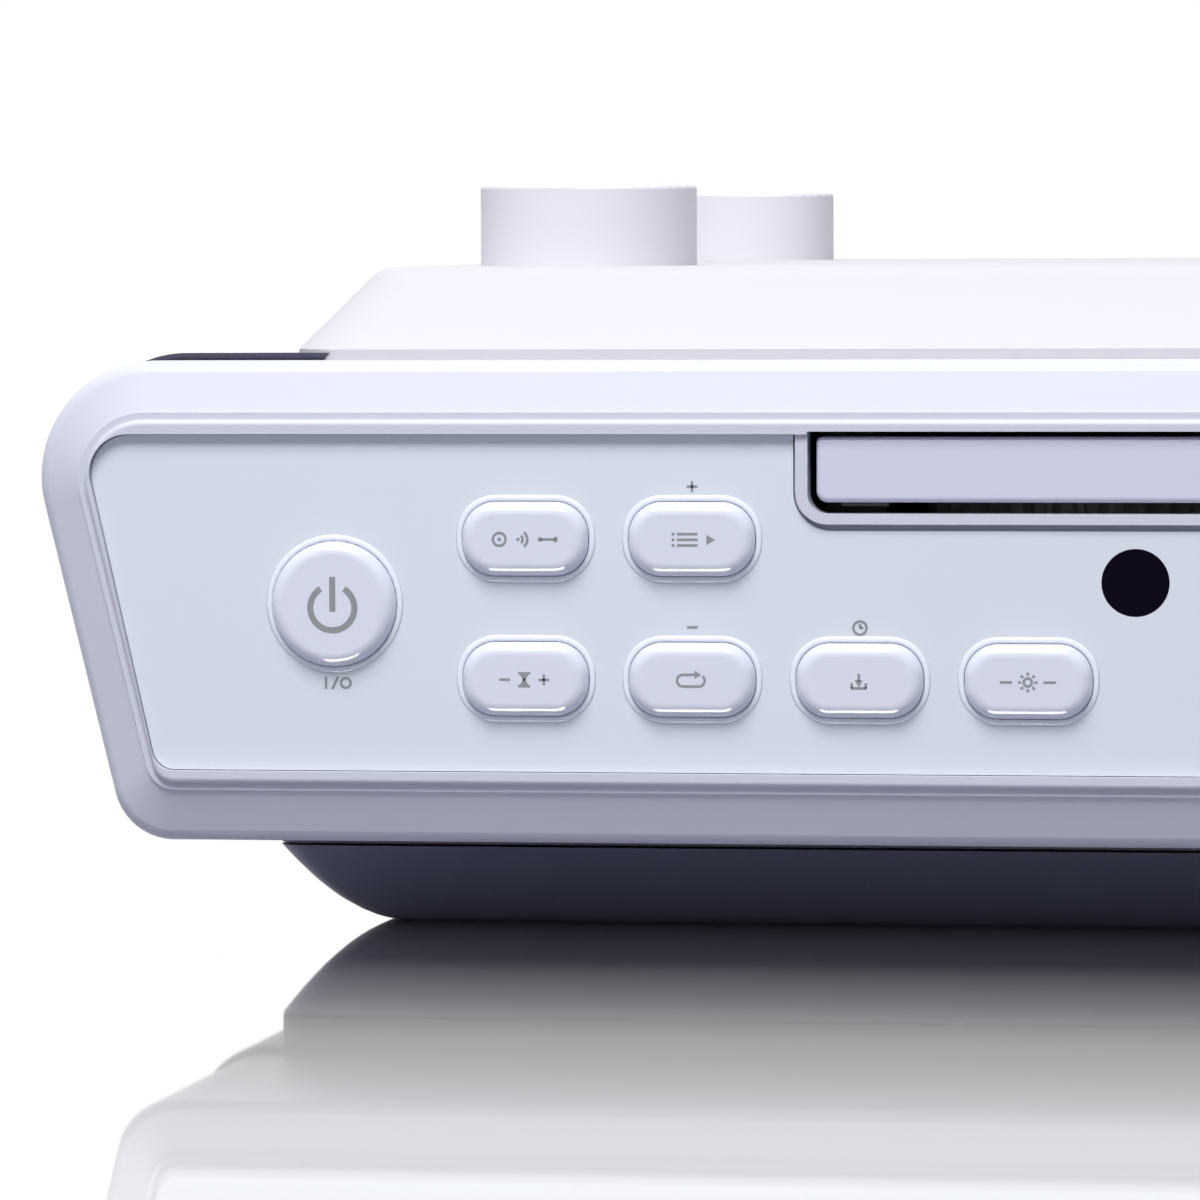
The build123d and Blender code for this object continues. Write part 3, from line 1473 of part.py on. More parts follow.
with BuildPart() as sled_motor_pinion:
    with BuildSketch(Plane(origin=(*at(sled_pinion_x, sled_motor_depth), wheel_low))):
        add(gear_outline(motor_pinion_teeth, wheel_module, 90 + 180 / motor_pinion_teeth))
    extrude(amount=wheel_high - wheel_low)
    with BuildSketch(level(wheel_low)):
        with Locations(at(sled_pinion_x, sled_motor_depth)):
            Circle(sled_shaft_r)
    extrude(amount=deck_bottom - 4 - wheel_low)
finish(sled_motor_pinion, "sled_motor_pinion")

# Cam slider: its slanted slot lowers the deck's front pin
pin_drop = (pivot_depth - cam_front - cam_thickness / 2) * sin(radians(deck_drop))
cam_angle = degrees(asin(pin_drop / sqrt(pin_drop**2 + cam_travel**2)))
with BuildPart() as cam_slider:
    with BuildSketch(front(cam_front + cam_thickness)):
        with Locations(((cam_left + cam_right) / 2, (cam_bottom + cam_top) / 2)):
            RectangleRounded(cam_right - cam_left, cam_top - cam_bottom, 1.5)
        with Locations((cam_pin_x - cam_travel / 2, deck_middle - pin_drop / 2)):
            SlotCenterToCenter(sqrt(pin_drop**2 + cam_travel**2), 2 * cam_pin_r + 0.8, rotation=cam_angle,
                               mode=Mode.SUBTRACT)
    extrude(amount=cam_thickness)
finish(cam_slider, "cam_slider")

# Clamp bridge over the tray, and the clamp that holds the disc on the turntable
bridge_top = bridge_bottom + bridge_thickness
with BuildPart() as clamp_bridge:
    with BuildSketch(level(bridge_bottom)):
        with Locations(at(0, spindle_depth)):
            RectangleRounded(2 * frame_outer, 2 * bridge_half_depth, 3)
            Circle(bridge_hole_r, mode=Mode.SUBTRACT)
    extrude(amount=bridge_thickness)
    with BuildSketch(level(bridge_top)):
        for way in (-1, 1):
            with Locations(at(way * (frame_outer + clamp_r) / 2, spindle_depth)):
                Rectangle(frame_outer - clamp_r - 8, 2)
    extrude(amount=1.5)
finish(clamp_bridge, "clamp_bridge")

with BuildPart() as disc_clamp:
    with BuildSketch(upright_at(0, spindle_depth)):
        with BuildLine():
            Polyline(
                (0, clamp_bottom + 1.8), (clamp_r - 5, clamp_bottom + 1.8), (clamp_r - 5, clamp_bottom),
                (clamp_r, clamp_bottom), (clamp_r, bridge_bottom - 0.4), (clamp_neck_r, bridge_bottom - 0.4),
                (clamp_neck_r, bridge_top + 0.15), (clamp_flange_r, bridge_top + 0.15),
                (clamp_flange_r, bridge_top + 1.5), (0, bridge_top + 1.5), close=True,
            )
        make_face()
    revolve(axis=axis_at(0, spindle_depth))
finish(disc_clamp, "disc_clamp")


def screw_solids(seat, places, length):
    """Pan-head screws whose heads stand on a seat plane, along its normal."""
    with BuildPart() as screws:
        with BuildSketch(seat):
            with Locations(*places):
                Circle(screw_head_r)
        extrude(amount=screw_head_height)
        ends = screws.faces().filter_by(seat).edges().group_by(Axis(seat.origin, seat.z_dir))
        chamfer(ends[-1], length=0.6)
        with BuildSketch(seat):
            with Locations(*places):
                Circle(screw_r - screw_slack)
        extrude(amount=-length)
    return screws.part


case_seat = Plane(origin=(0, 0, screw_seat), x_dir=(1, 0, 0), z_dir=(0, 0, -1))
key_board_seat = Plane(origin=(0, face_y + board_back, 0), x_dir=(1, 0, 0), z_dir=(0, 1, 0))
with BuildPart() as case_screws:
    add(screw_solids(case_seat, [(x, -y) for x, y in pillar_places], case_screw_length))
finish(case_screws, "case_screws")

with BuildPart() as loader_screws:
    add(screw_solids(level(floor_top), ear_places, loader_screw_length))
finish(loader_screws, "loader_screws")

with BuildPart() as board_screws:
    add(screw_solids(level(main_board_height + board_thickness), standoff_places, board_screw_length))
    add(screw_solids(key_board_seat, [(x, -height) for x, height in board_bosses], board_screw_length))
finish(board_screws, "board_screws")
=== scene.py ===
import json
from math import cos, pi, radians, sin

import bmesh
import bpy
from mathutils import Matrix, Vector


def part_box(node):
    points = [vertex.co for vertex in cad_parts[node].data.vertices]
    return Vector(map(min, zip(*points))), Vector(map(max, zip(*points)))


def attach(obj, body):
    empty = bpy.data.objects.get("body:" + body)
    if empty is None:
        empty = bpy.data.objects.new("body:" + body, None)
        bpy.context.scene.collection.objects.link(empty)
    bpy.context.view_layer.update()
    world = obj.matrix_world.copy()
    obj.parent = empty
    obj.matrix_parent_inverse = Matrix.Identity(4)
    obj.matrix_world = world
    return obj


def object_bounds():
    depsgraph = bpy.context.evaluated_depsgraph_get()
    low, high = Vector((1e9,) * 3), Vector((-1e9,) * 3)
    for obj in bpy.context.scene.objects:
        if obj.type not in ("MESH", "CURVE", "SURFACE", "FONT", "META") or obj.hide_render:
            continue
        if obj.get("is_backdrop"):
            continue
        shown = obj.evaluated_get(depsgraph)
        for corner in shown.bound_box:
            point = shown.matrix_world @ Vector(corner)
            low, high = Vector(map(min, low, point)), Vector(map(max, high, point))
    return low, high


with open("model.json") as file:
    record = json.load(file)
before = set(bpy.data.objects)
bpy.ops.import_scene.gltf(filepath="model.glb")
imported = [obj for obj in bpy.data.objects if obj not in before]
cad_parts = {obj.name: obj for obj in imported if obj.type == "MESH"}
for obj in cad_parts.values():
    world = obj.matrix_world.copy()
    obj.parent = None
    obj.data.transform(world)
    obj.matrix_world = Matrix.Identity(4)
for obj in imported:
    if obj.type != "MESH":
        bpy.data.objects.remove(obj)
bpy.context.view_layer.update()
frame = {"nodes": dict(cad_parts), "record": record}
scene = bpy.context.scene
mm = 0.001

# Places taken from the frame: the panel's face, and the middle of a named piece
panel_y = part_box("control_panel")[0].y
face_depth_of_panel = 0.9 * mm
face_y = panel_y - face_depth_of_panel


def middle_of(node):
    """The middle of a CAD piece's box."""
    low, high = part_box(node)
    return (low + high) / 2


# Node groups: effects that several finishes share
def new_group(name, inputs, outputs):
    """An empty shader group with named sockets; a float input is given as its default."""
    group = bpy.data.node_groups.new(name, "ShaderNodeTree")
    for label, default in inputs:
        kind = "NodeSocketColor" if isinstance(default, tuple) else "NodeSocketFloat"
        socket = group.interface.new_socket(label, in_out="INPUT", socket_type=kind)
        socket.default_value = default
    for label, kind in outputs:
        group.interface.new_socket(label, in_out="OUTPUT", socket_type=kind)
    return group, group.nodes.new("NodeGroupInput"), group.nodes.new("NodeGroupOutput")


def node(tree, kind, **settings):
    """A node with its properties set; a setting named in_N is the default of input N."""
    made = tree.nodes.new(kind)
    for key, value in settings.items():
        if key.startswith("in_"):
            made.inputs[int(key[3:])].default_value = value
        else:
            setattr(made, key, value)
    return made


def noise(tree, place, scale, detail=2.0):
    """Noise on object coordinates, as a factor round one half."""
    made = node(tree, "ShaderNodeTexNoise", in_2=scale, in_3=detail)
    tree.links.new(place, made.inputs["Vector"])
    return made.outputs["Fac"]


def moulding_group():
    """Moulded plastic: slight flow marks in the colour, uneven gloss and a fine eroded grain."""
    group, entry, leave = new_group(
        "moulded_surface",
        [("Color", (0.8, 0.8, 0.8, 1.0)), ("Flow", 0.02), ("Roughness", 0.3), ("Unevenness", 0.04),
         ("Grain size", 0.0004), ("Grain depth", 0.1)],
        [("Color", "NodeSocketColor"), ("Roughness", "NodeSocketFloat"), ("Height", "NodeSocketFloat")],
    )
    links = group.links
    place = group.nodes.new("ShaderNodeTexCoord").outputs["Object"]
    flow = noise(group, place, 14.0, 3.0)
    spread = node(group, "ShaderNodeMapRange", in_1=0.3, in_2=0.7, in_3=-1.0, in_4=1.0)
    links.new(flow, spread.inputs[0])
    amount = node(group, "ShaderNodeMath", operation="MULTIPLY")
    links.new(spread.outputs[0], amount.inputs[0])
    links.new(entry.outputs["Flow"], amount.inputs[1])
    value = node(group, "ShaderNodeMath", operation="ADD", in_1=1.0)
    links.new(amount.outputs[0], value.inputs[0])
    tint = group.nodes.new("ShaderNodeHueSaturation")
    links.new(entry.outputs["Color"], tint.inputs["Color"])
    links.new(value.outputs[0], tint.inputs["Value"])
    links.new(tint.outputs["Color"], leave.inputs["Color"])

    smear = noise(group, place, 60.0, 4.0)
    offset = node(group, "ShaderNodeMath", operation="SUBTRACT", in_1=0.5)
    links.new(smear, offset.inputs[0])
    uneven = node(group, "ShaderNodeMath", operation="MULTIPLY_ADD")
    links.new(offset.outputs[0], uneven.inputs[0])
    links.new(entry.outputs["Unevenness"], uneven.inputs[1])
    links.new(entry.outputs["Roughness"], uneven.inputs[2])
    links.new(uneven.outputs[0], leave.inputs["Roughness"])

    inverse = node(group, "ShaderNodeMath", operation="DIVIDE", in_0=1.0)
    links.new(entry.outputs["Grain size"], inverse.inputs[1])
    grain = node(group, "ShaderNodeTexNoise", in_3=1.5)
    links.new(place, grain.inputs["Vector"])
    links.new(inverse.outputs[0], grain.inputs["Scale"])
    deep = node(group, "ShaderNodeMath", operation="MULTIPLY")
    links.new(grain.outputs["Fac"], deep.inputs[0])
    links.new(entry.outputs["Grain depth"], deep.inputs[1])
    links.new(deep.outputs[0], leave.inputs["Height"])
    return group


def drawn_metal_group():
    """Drawn or plated metal: long fine lines in its gloss and height."""
    group, entry, leave = new_group(
        "drawn_metal",
        [("Roughness", 0.25), ("Lines", 0.12), ("Across", 900.0), ("Along", 30.0)],
        [("Roughness", "NodeSocketFloat"), ("Height", "NodeSocketFloat")],
    )
    links = group.links
    place = group.nodes.new("ShaderNodeTexCoord").outputs["Object"]
    scale = group.nodes.new("ShaderNodeCombineXYZ")
    links.new(entry.outputs["Across"], scale.inputs["X"])
    links.new(entry.outputs["Along"], scale.inputs["Y"])
    links.new(entry.outputs["Across"], scale.inputs["Z"])
    stretched = node(group, "ShaderNodeVectorMath", operation="MULTIPLY")
    links.new(place, stretched.inputs[0])
    links.new(scale.outputs[0], stretched.inputs[1])
    lines = noise(group, stretched.outputs[0], 1.0, 3.0)
    offset = node(group, "ShaderNodeMath", operation="SUBTRACT", in_1=0.5)
    links.new(lines, offset.inputs[0])
    rough = node(group, "ShaderNodeMath", operation="MULTIPLY_ADD")
    links.new(offset.outputs[0], rough.inputs[0])
    links.new(entry.outputs["Lines"], rough.inputs[1])
    links.new(entry.outputs["Roughness"], rough.inputs[2])
    links.new(rough.outputs[0], leave.inputs["Roughness"])
    links.new(lines, leave.inputs["Height"])
    return group


moulding = moulding_group()
drawn_metal = drawn_metal_group()


def blank_material(name):
    """A material with its Principled shader ready."""
    material = bpy.data.materials.new(name)
    material.use_nodes = True
    return material, material.node_tree, material.node_tree.nodes["Principled BSDF"]


def add_bump(tree, shader, height, strength, distance):
    """A bump from a height, into the shader's normal."""
    bump = node(tree, "ShaderNodeBump")
    bump.inputs["Strength"].default_value = strength
    bump.inputs["Distance"].default_value = distance
    tree.links.new(height, bump.inputs["Height"])
    tree.links.new(bump.outputs["Normal"], shader.inputs["Normal"])


def moulded(name, color, roughness, grain_size=0.4, grain=0.1, flow=0.006, coat=0.0, unevenness=0.05,
            shine=0.5, glow=0.0):
    """A moulded plastic finish; the grain's size is in millimetres."""
    material, tree, shader = blank_material(name)
    surface = tree.nodes.new("ShaderNodeGroup")
    surface.node_tree = moulding
    surface.inputs["Color"].default_value = (*color, 1.0)
    surface.inputs["Flow"].default_value = flow
    surface.inputs["Roughness"].default_value = roughness
    surface.inputs["Unevenness"].default_value = unevenness
    surface.inputs["Grain size"].default_value = grain_size * mm
    surface.inputs["Grain depth"].default_value = 1.0
    tree.links.new(surface.outputs["Color"], shader.inputs["Base Color"])
    tree.links.new(surface.outputs["Roughness"], shader.inputs["Roughness"])
    add_bump(tree, shader, surface.outputs["Height"], grain, 0.05 * mm)
    shader.inputs["Specular IOR Level"].default_value = shine
    shader.inputs["Emission Color"].default_value = (*color, 1.0)
    shader.inputs["Emission Strength"].default_value = glow
    shader.inputs["Coat Weight"].default_value = coat
    shader.inputs["Coat Roughness"].default_value = 0.06
    return material


def metal(name, color, roughness, across=900.0, along=30.0):
    """A drawn or plated metal finish."""
    material, tree, shader = blank_material(name)
    surface = tree.nodes.new("ShaderNodeGroup")
    surface.node_tree = drawn_metal
    surface.inputs["Roughness"].default_value = roughness
    surface.inputs["Across"].default_value = across
    surface.inputs["Along"].default_value = along
    tree.links.new(surface.outputs["Roughness"], shader.inputs["Roughness"])
    shader.inputs["Base Color"].default_value = (*color, 1.0)
    shader.inputs["Metallic"].default_value = 1.0
    add_bump(tree, shader, surface.outputs["Height"], 0.1, 0.02 * mm)
    return material


def clear_window(name, color, weight):
    """A polished smoked window."""
    material, tree, shader = blank_material(name)
    place = tree.nodes.new("ShaderNodeTexCoord").outputs["Object"]
    haze = noise(tree, place, 90.0, 3.0)
    rough = node(tree, "ShaderNodeMapRange", in_3=0.02, in_4=0.07)
    tree.links.new(haze, rough.inputs[0])
    tree.links.new(rough.outputs[0], shader.inputs["Roughness"])
    shader.inputs["Base Color"].default_value = (*color, 1.0)
    shader.inputs["Transmission Weight"].default_value = weight
    shader.inputs["IOR"].default_value = 1.49
    return material


# Finishes of this radio
finishes = {
    "white_shell": moulded("lavender_satin_shell", (0.59, 0.605, 0.69), 0.38, 0.35, 0.05, shine=0.25),
    # The cover and the spacers are the shell's white plastic in a whiter tone. Their colours are also painted
    # shade, darkened so that the light on the cover's upward faces and the spacers' lit sides does not blow
    # out.
    "white_cover_painted_shade": moulded(
        "white_satin_cover_painted_shade", (0.56, 0.555, 0.60), 0.46, 0.35, 0.05, flow=0.004, shine=0.25,
    ),
    "white_spacer_painted_shade": moulded(
        "white_satin_spacer_painted_shade", (0.71, 0.70, 0.76), 0.44, 0.35, 0.05, flow=0.004, shine=0.25,
    ),
    # The base is the same grained plastic as the dark case. Its colour is several times lighter as painted
    # light, making up for the light its undercut faces do not get.
    "base_case_painted_light": moulded("blue_grey_grained_base_painted_light", (0.35, 0.35, 0.49), 0.48, 0.5, 0.45, flow=0.04, shine=0.5),
    "tray_door": moulded("tray_door_satin", (0.60, 0.61, 0.735), 0.36, 0.3, 0.06),
    "pale_panel": moulded("silver_blue_panel", (0.655, 0.70, 0.77), 0.42, 0.25, 0.05, flow=0.01),
    "pearl_key": moulded("pearl_key_gloss", (0.66, 0.69, 0.79), 0.16, 0.3, 0.03, coat=0.6),
    "dark_case": moulded(
        "blue_grey_grained_case", (0.085, 0.085, 0.130), 0.46, 0.5, 0.45, flow=0.04, shine=0.4,
    ),
    "black_plastic": moulded("black_moulding", (0.018, 0.018, 0.021), 0.42, 0.4, 0.25, flow=0.08),
    "tray_plastic": moulded("tray_satin_grey", (0.035, 0.037, 0.043), 0.36, 0.3, 0.2, flow=0.04),
    "gear_plastic": moulded("gear_acetal", (0.74, 0.73, 0.67), 0.35, 0.3, 0.08, flow=0.03),
    "deck_plastic": moulded("deck_grey_moulding", (0.075, 0.078, 0.085), 0.5, 0.4, 0.25, flow=0.05),
    "belt_rubber": moulded("belt_rubber", (0.012, 0.012, 0.012), 0.75, 0.15, 0.5),
    "dark_window": moulded("infrared_window_gloss", (0.003, 0.001, 0.007), 0.10, 0.5, 0.0, shine=0.03),
    "board_green": moulded("board_solder_mask", (0.012, 0.12, 0.05), 0.3, 0.6, 0.2, flow=0.12, coat=0.3),
    "cone_paper": moulded("pressed_cone_paper", (0.03, 0.03, 0.032), 0.9, 0.3, 0.8, flow=0.2),
    "cell_wrap": moulded("cell_sleeve", (0.05, 0.14, 0.12), 0.3, 0.8, 0.05, coat=0.3),
    "steel": metal("plated_steel", (0.62, 0.63, 0.65), 0.28),
    "brass_insert": metal("turned_brass", (0.68, 0.50, 0.22), 0.25, 1400.0, 1400.0),
    "magnet_iron": metal("plated_magnet", (0.38, 0.38, 0.40), 0.45, 300.0, 300.0),
    "smoked_window": clear_window("smoked_display_window", (0.10, 0.11, 0.13), 0.85),
    "lens_glass": clear_window("coated_lens", (0.55, 0.62, 0.85), 0.9),
    "legend_ink": moulded("grey_legend_ink", (0.235, 0.26, 0.27), 0.5, 0.12, 0.2),
    "key_collar": moulded("pale_key_collar", (0.74, 0.78, 0.86), 0.22, 0.3, 0.03, coat=0.4),
    "lit_digits": moulded("lit_display_digits", (0.45, 0.85, 0.80), 0.4, 0.3, 0.05, glow=1.4),
}

slot_of = {row["node"]: row["material_slot"] for row in frame["record"]["subparts"]}
# Pieces given a colour other than their slot's: the tray door its own, the cover and spacers a darkened white
# as painted shade, and the base a lightened dark grey as painted light.
own_finish = {
    "tray_door": "tray_door",
    "top_cover": "white_cover_painted_shade",
    "mounting_spacers": "white_spacer_painted_shade",
    "base": "base_case_painted_light",
}
for name, piece in frame["nodes"].items():
    finish_name = own_finish.get(name, slot_of[name])
    for index in range(len(piece.material_slots)):
        piece.material_slots[index].material = finishes[finish_name]


# Printed legends: flat strokes on an upright face, given in millimetres round the legend's middle
def bar(bm, x, z, length, width, turn=0.0):
    """A straight stroke."""
    made = bmesh.ops.create_grid(bm, x_segments=1, y_segments=1, size=0.5)
    turned = Matrix.Translation((x, z, 0)) @ Matrix.Rotation(radians(turn), 4, "Z")
    place = turned @ Matrix.Diagonal((length, width, 1, 1))
    bmesh.ops.transform(bm, matrix=place, verts=made["verts"])


def arc(bm, x, z, radius, width, start=0.0, sweep=360.0):
    """A curved stroke, counted anticlockwise from the right."""
    inner = bm.verts.new((radius - width / 2, 0, 0))
    outer = bm.verts.new((radius + width / 2, 0, 0))
    edge = bm.edges.new((inner, outer))
    whole = sweep >= 360.0
    steps = max(8, int(sweep / 9))
    before = set(bm.verts)
    bmesh.ops.spin(bm, geom=[inner, outer, edge], cent=(0, 0, 0), axis=(0, 0, 1), angle=radians(sweep),
                   steps=steps, use_merge=whole)
    ring = [inner, outer] + [v for v in bm.verts if v not in before]
    place = Matrix.Translation((x, z, 0)) @ Matrix.Rotation(radians(start), 4, "Z")
    bmesh.ops.transform(bm, matrix=place, verts=ring)


def wedge(bm, x, z, size, turn=0.0):
    """A filled triangle that points to the right before its turn."""
    made = bmesh.ops.create_circle(bm, cap_ends=True, segments=3, radius=size)
    place = Matrix.Translation((x, z, 0)) @ Matrix.Rotation(radians(turn - 90), 4, "Z")
    bmesh.ops.transform(bm, matrix=place, verts=made["verts"])


def dot(bm, x, z, radius):
    """A filled round spot."""
    made = bmesh.ops.create_circle(bm, cap_ends=True, segments=20, radius=radius)
    bmesh.ops.translate(bm, vec=(x, z, 0), verts=made["verts"])


stroke = 0.27
ink_thickness = 0.02 * mm


def legend_piece(name, strokes, place, body, finish_name="legend_ink"):
    """Strokes printed on an upright face at a place, riding on a body."""
    bm = bmesh.new()
    for kind, *values in strokes:
        kind(bm, *values)
    bmesh.ops.remove_doubles(bm, verts=bm.verts, dist=1e-5)
    bmesh.ops.recalc_face_normals(bm, faces=bm.faces)
    up = [f for f in bm.faces if f.normal.z < 0]
    bmesh.ops.reverse_faces(bm, faces=up)
    raised = bmesh.ops.extrude_face_region(bm, geom=bm.faces[:])
    tops = [g for g in raised["geom"] if isinstance(g, bmesh.types.BMVert)]
    bmesh.ops.translate(bm, vec=(0, 0, ink_thickness / mm), verts=tops)
    stand = Matrix.Translation(place) @ Matrix.Rotation(radians(90), 4, "X") @ Matrix.Scale(mm, 4)
    bmesh.ops.transform(bm, matrix=stand, verts=bm.verts)
    bmesh.ops.recalc_face_normals(bm, faces=bm.faces)
    return keep_mesh(name, bm, finish_name, body)


def keep_mesh(name, bm, finish_name, body, smooth=False):
    """Turn a bmesh into a piece with a finish, riding on a body."""
    mesh = bpy.data.meshes.new(name)
    for face in bm.faces:
        face.smooth = smooth
    bm.to_mesh(mesh)
    bm.free()
    piece = bpy.data.objects.new(name, mesh)
    scene.collection.objects.link(piece)
    mesh.materials.append(finishes[finish_name])
    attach(piece, body)
    return piece


def clock_sign(size):
    """A clock face with two hands."""
    return [
        (arc, 0, 0, size, stroke),
        (bar, 0, size * 0.32, size * 0.64, stroke, 90),
        (bar, size * 0.25, 0, size * 0.5, stroke),
    ]


def shifted(strokes, x, z=0.0):
    """The same strokes moved aside."""
    return [(kind, values[0] + x, values[1] + z, *values[2:]) for kind, *values in strokes]


plus_sign = [(bar, 0, 0, 1.15, stroke), (bar, 0, 0, 1.15, stroke, 90)]
minus_sign = [(bar, 0, 0, 1.15, stroke)]
disc_sign = [(arc, 0, 0, 0.68, stroke), (dot, 0, 0, 0.2)]
wave_sign = [(arc, -0.7, 0, reach, stroke, -50, 100) for reach in (0.5, 1.0)] + [(dot, -0.7, 0, 0.18)]
jack_sign = [(bar, -0.1, 0, 1.5, stroke), (bar, 0.75, 0, 0.35, 0.55), (dot, -0.95, 0, 0.24)]
list_sign = [(bar, 0.25, level, 2.2, stroke) for level in (-0.6, 0.0, 0.6)]
list_sign += [(dot, -1.25, level, 0.17) for level in (-0.6, 0.0, 0.6)]
loop_sign = [
    (arc, -0.85, 0, 0.62, stroke, 90, 180), (arc, 0.85, 0, 0.62, stroke, -90, 140),
    (bar, 0, -0.62, 1.7, stroke), (bar, -0.25, 0.62, 1.2, stroke), (wedge, 0.62, 0.62, 0.5),
]
hourglass_sign = [
    (bar, 0, 0.68, 1.3, stroke), (bar, 0, -0.68, 1.3, stroke),
    (wedge, 0, -0.28, 0.52, 90), (wedge, 0, 0.28, 0.52, -90),
]
store_sign = [
    (wedge, 0, -0.12, 0.5, -90), (bar, 0, 0.42, 0.8, stroke, 90),
    (bar, 0, -0.72, 1.7, stroke), (bar, -0.75, -0.45, 0.55, stroke, 90), (bar, 0.75, -0.45, 0.55, stroke, 90),
]
lamp_sign = [(arc, 0, 0, 0.42, stroke)]
lamp_sign += [
    (bar, 0.86 * cos(pi * ray / 4), 0.86 * sin(pi * ray / 4), 0.34, stroke, 45 * ray) for ray in range(8)
]
key_signs = {
    "source_key": shifted(disc_sign, -2.6) + shifted(wave_sign, 0.1) + shifted(jack_sign, 2.7),
    "program_key": shifted(list_sign, -0.6) + [(wedge, 2.0, 0, 0.62)],
    "timer_key": hourglass_sign + shifted(minus_sign, -2.1) + shifted(plus_sign, 2.1),
    "repeat_key": loop_sign,
    "memory_key": store_sign,
    "display_key": lamp_sign + [(bar, -2.3, 0, 1.3, stroke), (bar, 2.3, 0, 1.3, stroke)],
    "tray_key": [(wedge, 0, 0.25, 0.75, 90), (bar, 0, -0.62, 1.4, 0.36)],
    "alarm_key": clock_sign(0.75) + [(bar, -0.8, 0.85, 0.6, stroke, 45), (bar, 0.8, 0.85, 0.6, stroke, -45)],
    "back_key": [(bar, -1.15, 0, 1.4, 0.3, 90), (wedge, -0.35, 0, 0.75, 180), (wedge, 0.75, 0, 0.75, 180)],
    "play_key": [(wedge, -0.75, 0, 0.8), (bar, 0.55, 0, 1.35, 0.34, 90), (bar, 1.2, 0, 1.35, 0.34, 90)],
    "forward_key": [(wedge, -0.75, 0, 0.75), (wedge, 0.35, 0, 0.75), (bar, 1.15, 0, 1.4, 0.3, 90)],
    "stop_key": [(bar, 0, 0, 1.3, 1.3)],
    "power_button": [(arc, 0, -0.35, 2.39, 0.66, 122, 296), (bar, 0, 1.1, 3.7, 0.66, 90)],
}
for name, strokes in key_signs.items():
    low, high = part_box(name)
    cap = Vector(((low.x + high.x) / 2, low.y, (low.z + high.z) / 2))
    legend_piece(f"{name}_legend", strokes, cap, name)

# Signs printed on the panel
caption_rise = 5.55 * mm
power = middle_of("power_button")
program = middle_of("program_key")
repeat = middle_of("repeat_key")
memory = middle_of("memory_key")
power_caption_drop = 8.45 * mm
caption_signs = {
    "power_caption": (
        [(bar, -1.0, 0, 1.3, stroke, 90), (bar, 0, 0, 1.5, stroke, 65), (arc, 1.15, 0, 0.52, stroke)],
        Vector((power.x, panel_y, power.z - power_caption_drop)),
    ),
    "plus_caption": (plus_sign, Vector((program.x, panel_y, program.z + caption_rise))),
    "minus_caption": (minus_sign, Vector((repeat.x, panel_y, repeat.z + caption_rise))),
    "clock_caption": (clock_sign(0.7), Vector((memory.x, panel_y, memory.z + caption_rise))),
}
for name, (strokes, place) in caption_signs.items():
    legend_piece(name, strokes, place, "case")

# Scale printed round the volume dial, and the dial's own pointer line
dial = middle_of("volume_dial")
dial_low, dial_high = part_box("volume_dial")
dial_r = (dial_high.x - dial_low.x) / 2 / mm
scale_marks = []
for step in range(11):
    turn = 225 - 27 * step
    reach = dial_r + 2.0
    scale_marks.append((bar, reach * cos(radians(turn)), reach * sin(radians(turn)), 1.1, stroke, turn))
legend_piece("volume_scale", scale_marks, Vector((dial.x, panel_y, dial.z)), "case")
pointer = [(bar, 0, 6.6, 4.2, 0.7, 90)]
legend_piece("volume_pointer", pointer, Vector((dial.x, dial_low.y, dial.z)), "volume_dial")

# Pale collars that stand round the keys, the power button and the dial
cap_width = 13.5
cap_height = 7.9
cap_corner_r = 3.6
power_r = 6.7
collar_section = [(0.05, -0.05), (0.06, 0.10), (0.26, 0.18), (0.55, 0.12), (0.76, -0.03)]


def rounded_outline(half_width, half_height, radius, steps=8):
    """Points round a rounded rectangle, anticlockwise, none of them twice."""
    points = []
    for corner, (side_x, side_z) in enumerate(((1, 1), (-1, 1), (-1, -1), (1, -1))):
        for step in range(steps + 1):
            turn = radians(90 * corner + 90 * step / steps)
            point = Vector((
                side_x * (half_width - radius) + radius * cos(turn),
                side_z * (half_height - radius) + radius * sin(turn),
            ))
            if not points or min((point - points[-1]).length, (point - points[0]).length) > 1e-4:
                points.append(point)
    return points


def collar_piece(name, place, half_width, half_height, corner_r):
    """A low rounded ring on the panel, round an opening."""
    bm = bmesh.new()
    loops = []
    for grow, proud in collar_section:
        outline = rounded_outline(half_width + grow, half_height + grow, corner_r + grow)
        ring = [bm.verts.new((x, -proud, z)) for x, z in outline]
        loops.append([bm.edges.new((ring[index - 1], ring[index])) for index in range(len(ring))])
    for one, other in zip(loops, loops[1:] + loops[:1]):
        bmesh.ops.bridge_loops(bm, edges=one + other)
    bmesh.ops.recalc_face_normals(bm, faces=bm.faces)
    bmesh.ops.transform(bm, matrix=Matrix.Translation(place) @ Matrix.Scale(mm, 4), verts=bm.verts)
    return keep_mesh(name, bm, "key_collar", "case", smooth=True)


for name in key_signs:
    spot = middle_of(name)
    place = Vector((spot.x, panel_y, spot.z))
    if name == "power_button":
        collar_piece(f"{name}_collar", place, power_r, power_r, power_r)
    else:
        collar_piece(f"{name}_collar", place, cap_width / 2, cap_height / 2, cap_corner_r)
collar_piece("volume_collar", Vector((dial.x, panel_y, dial.z)), dial_r + 0.2, dial_r + 0.2, dial_r + 0.2)

# Figures shown behind the display window
segment_rows = {"0": "abcdef", "1": "bc", "2": "abged"}
window_low, window_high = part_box("display_window")
window_middle = (window_low + window_high) / 2
figure_height = 0.5 * (window_high.z - window_low.z) / mm
figure_width = 0.52 * figure_height
figure_pitch = 0.82 * figure_height
figure_stroke = 0.11 * figure_height


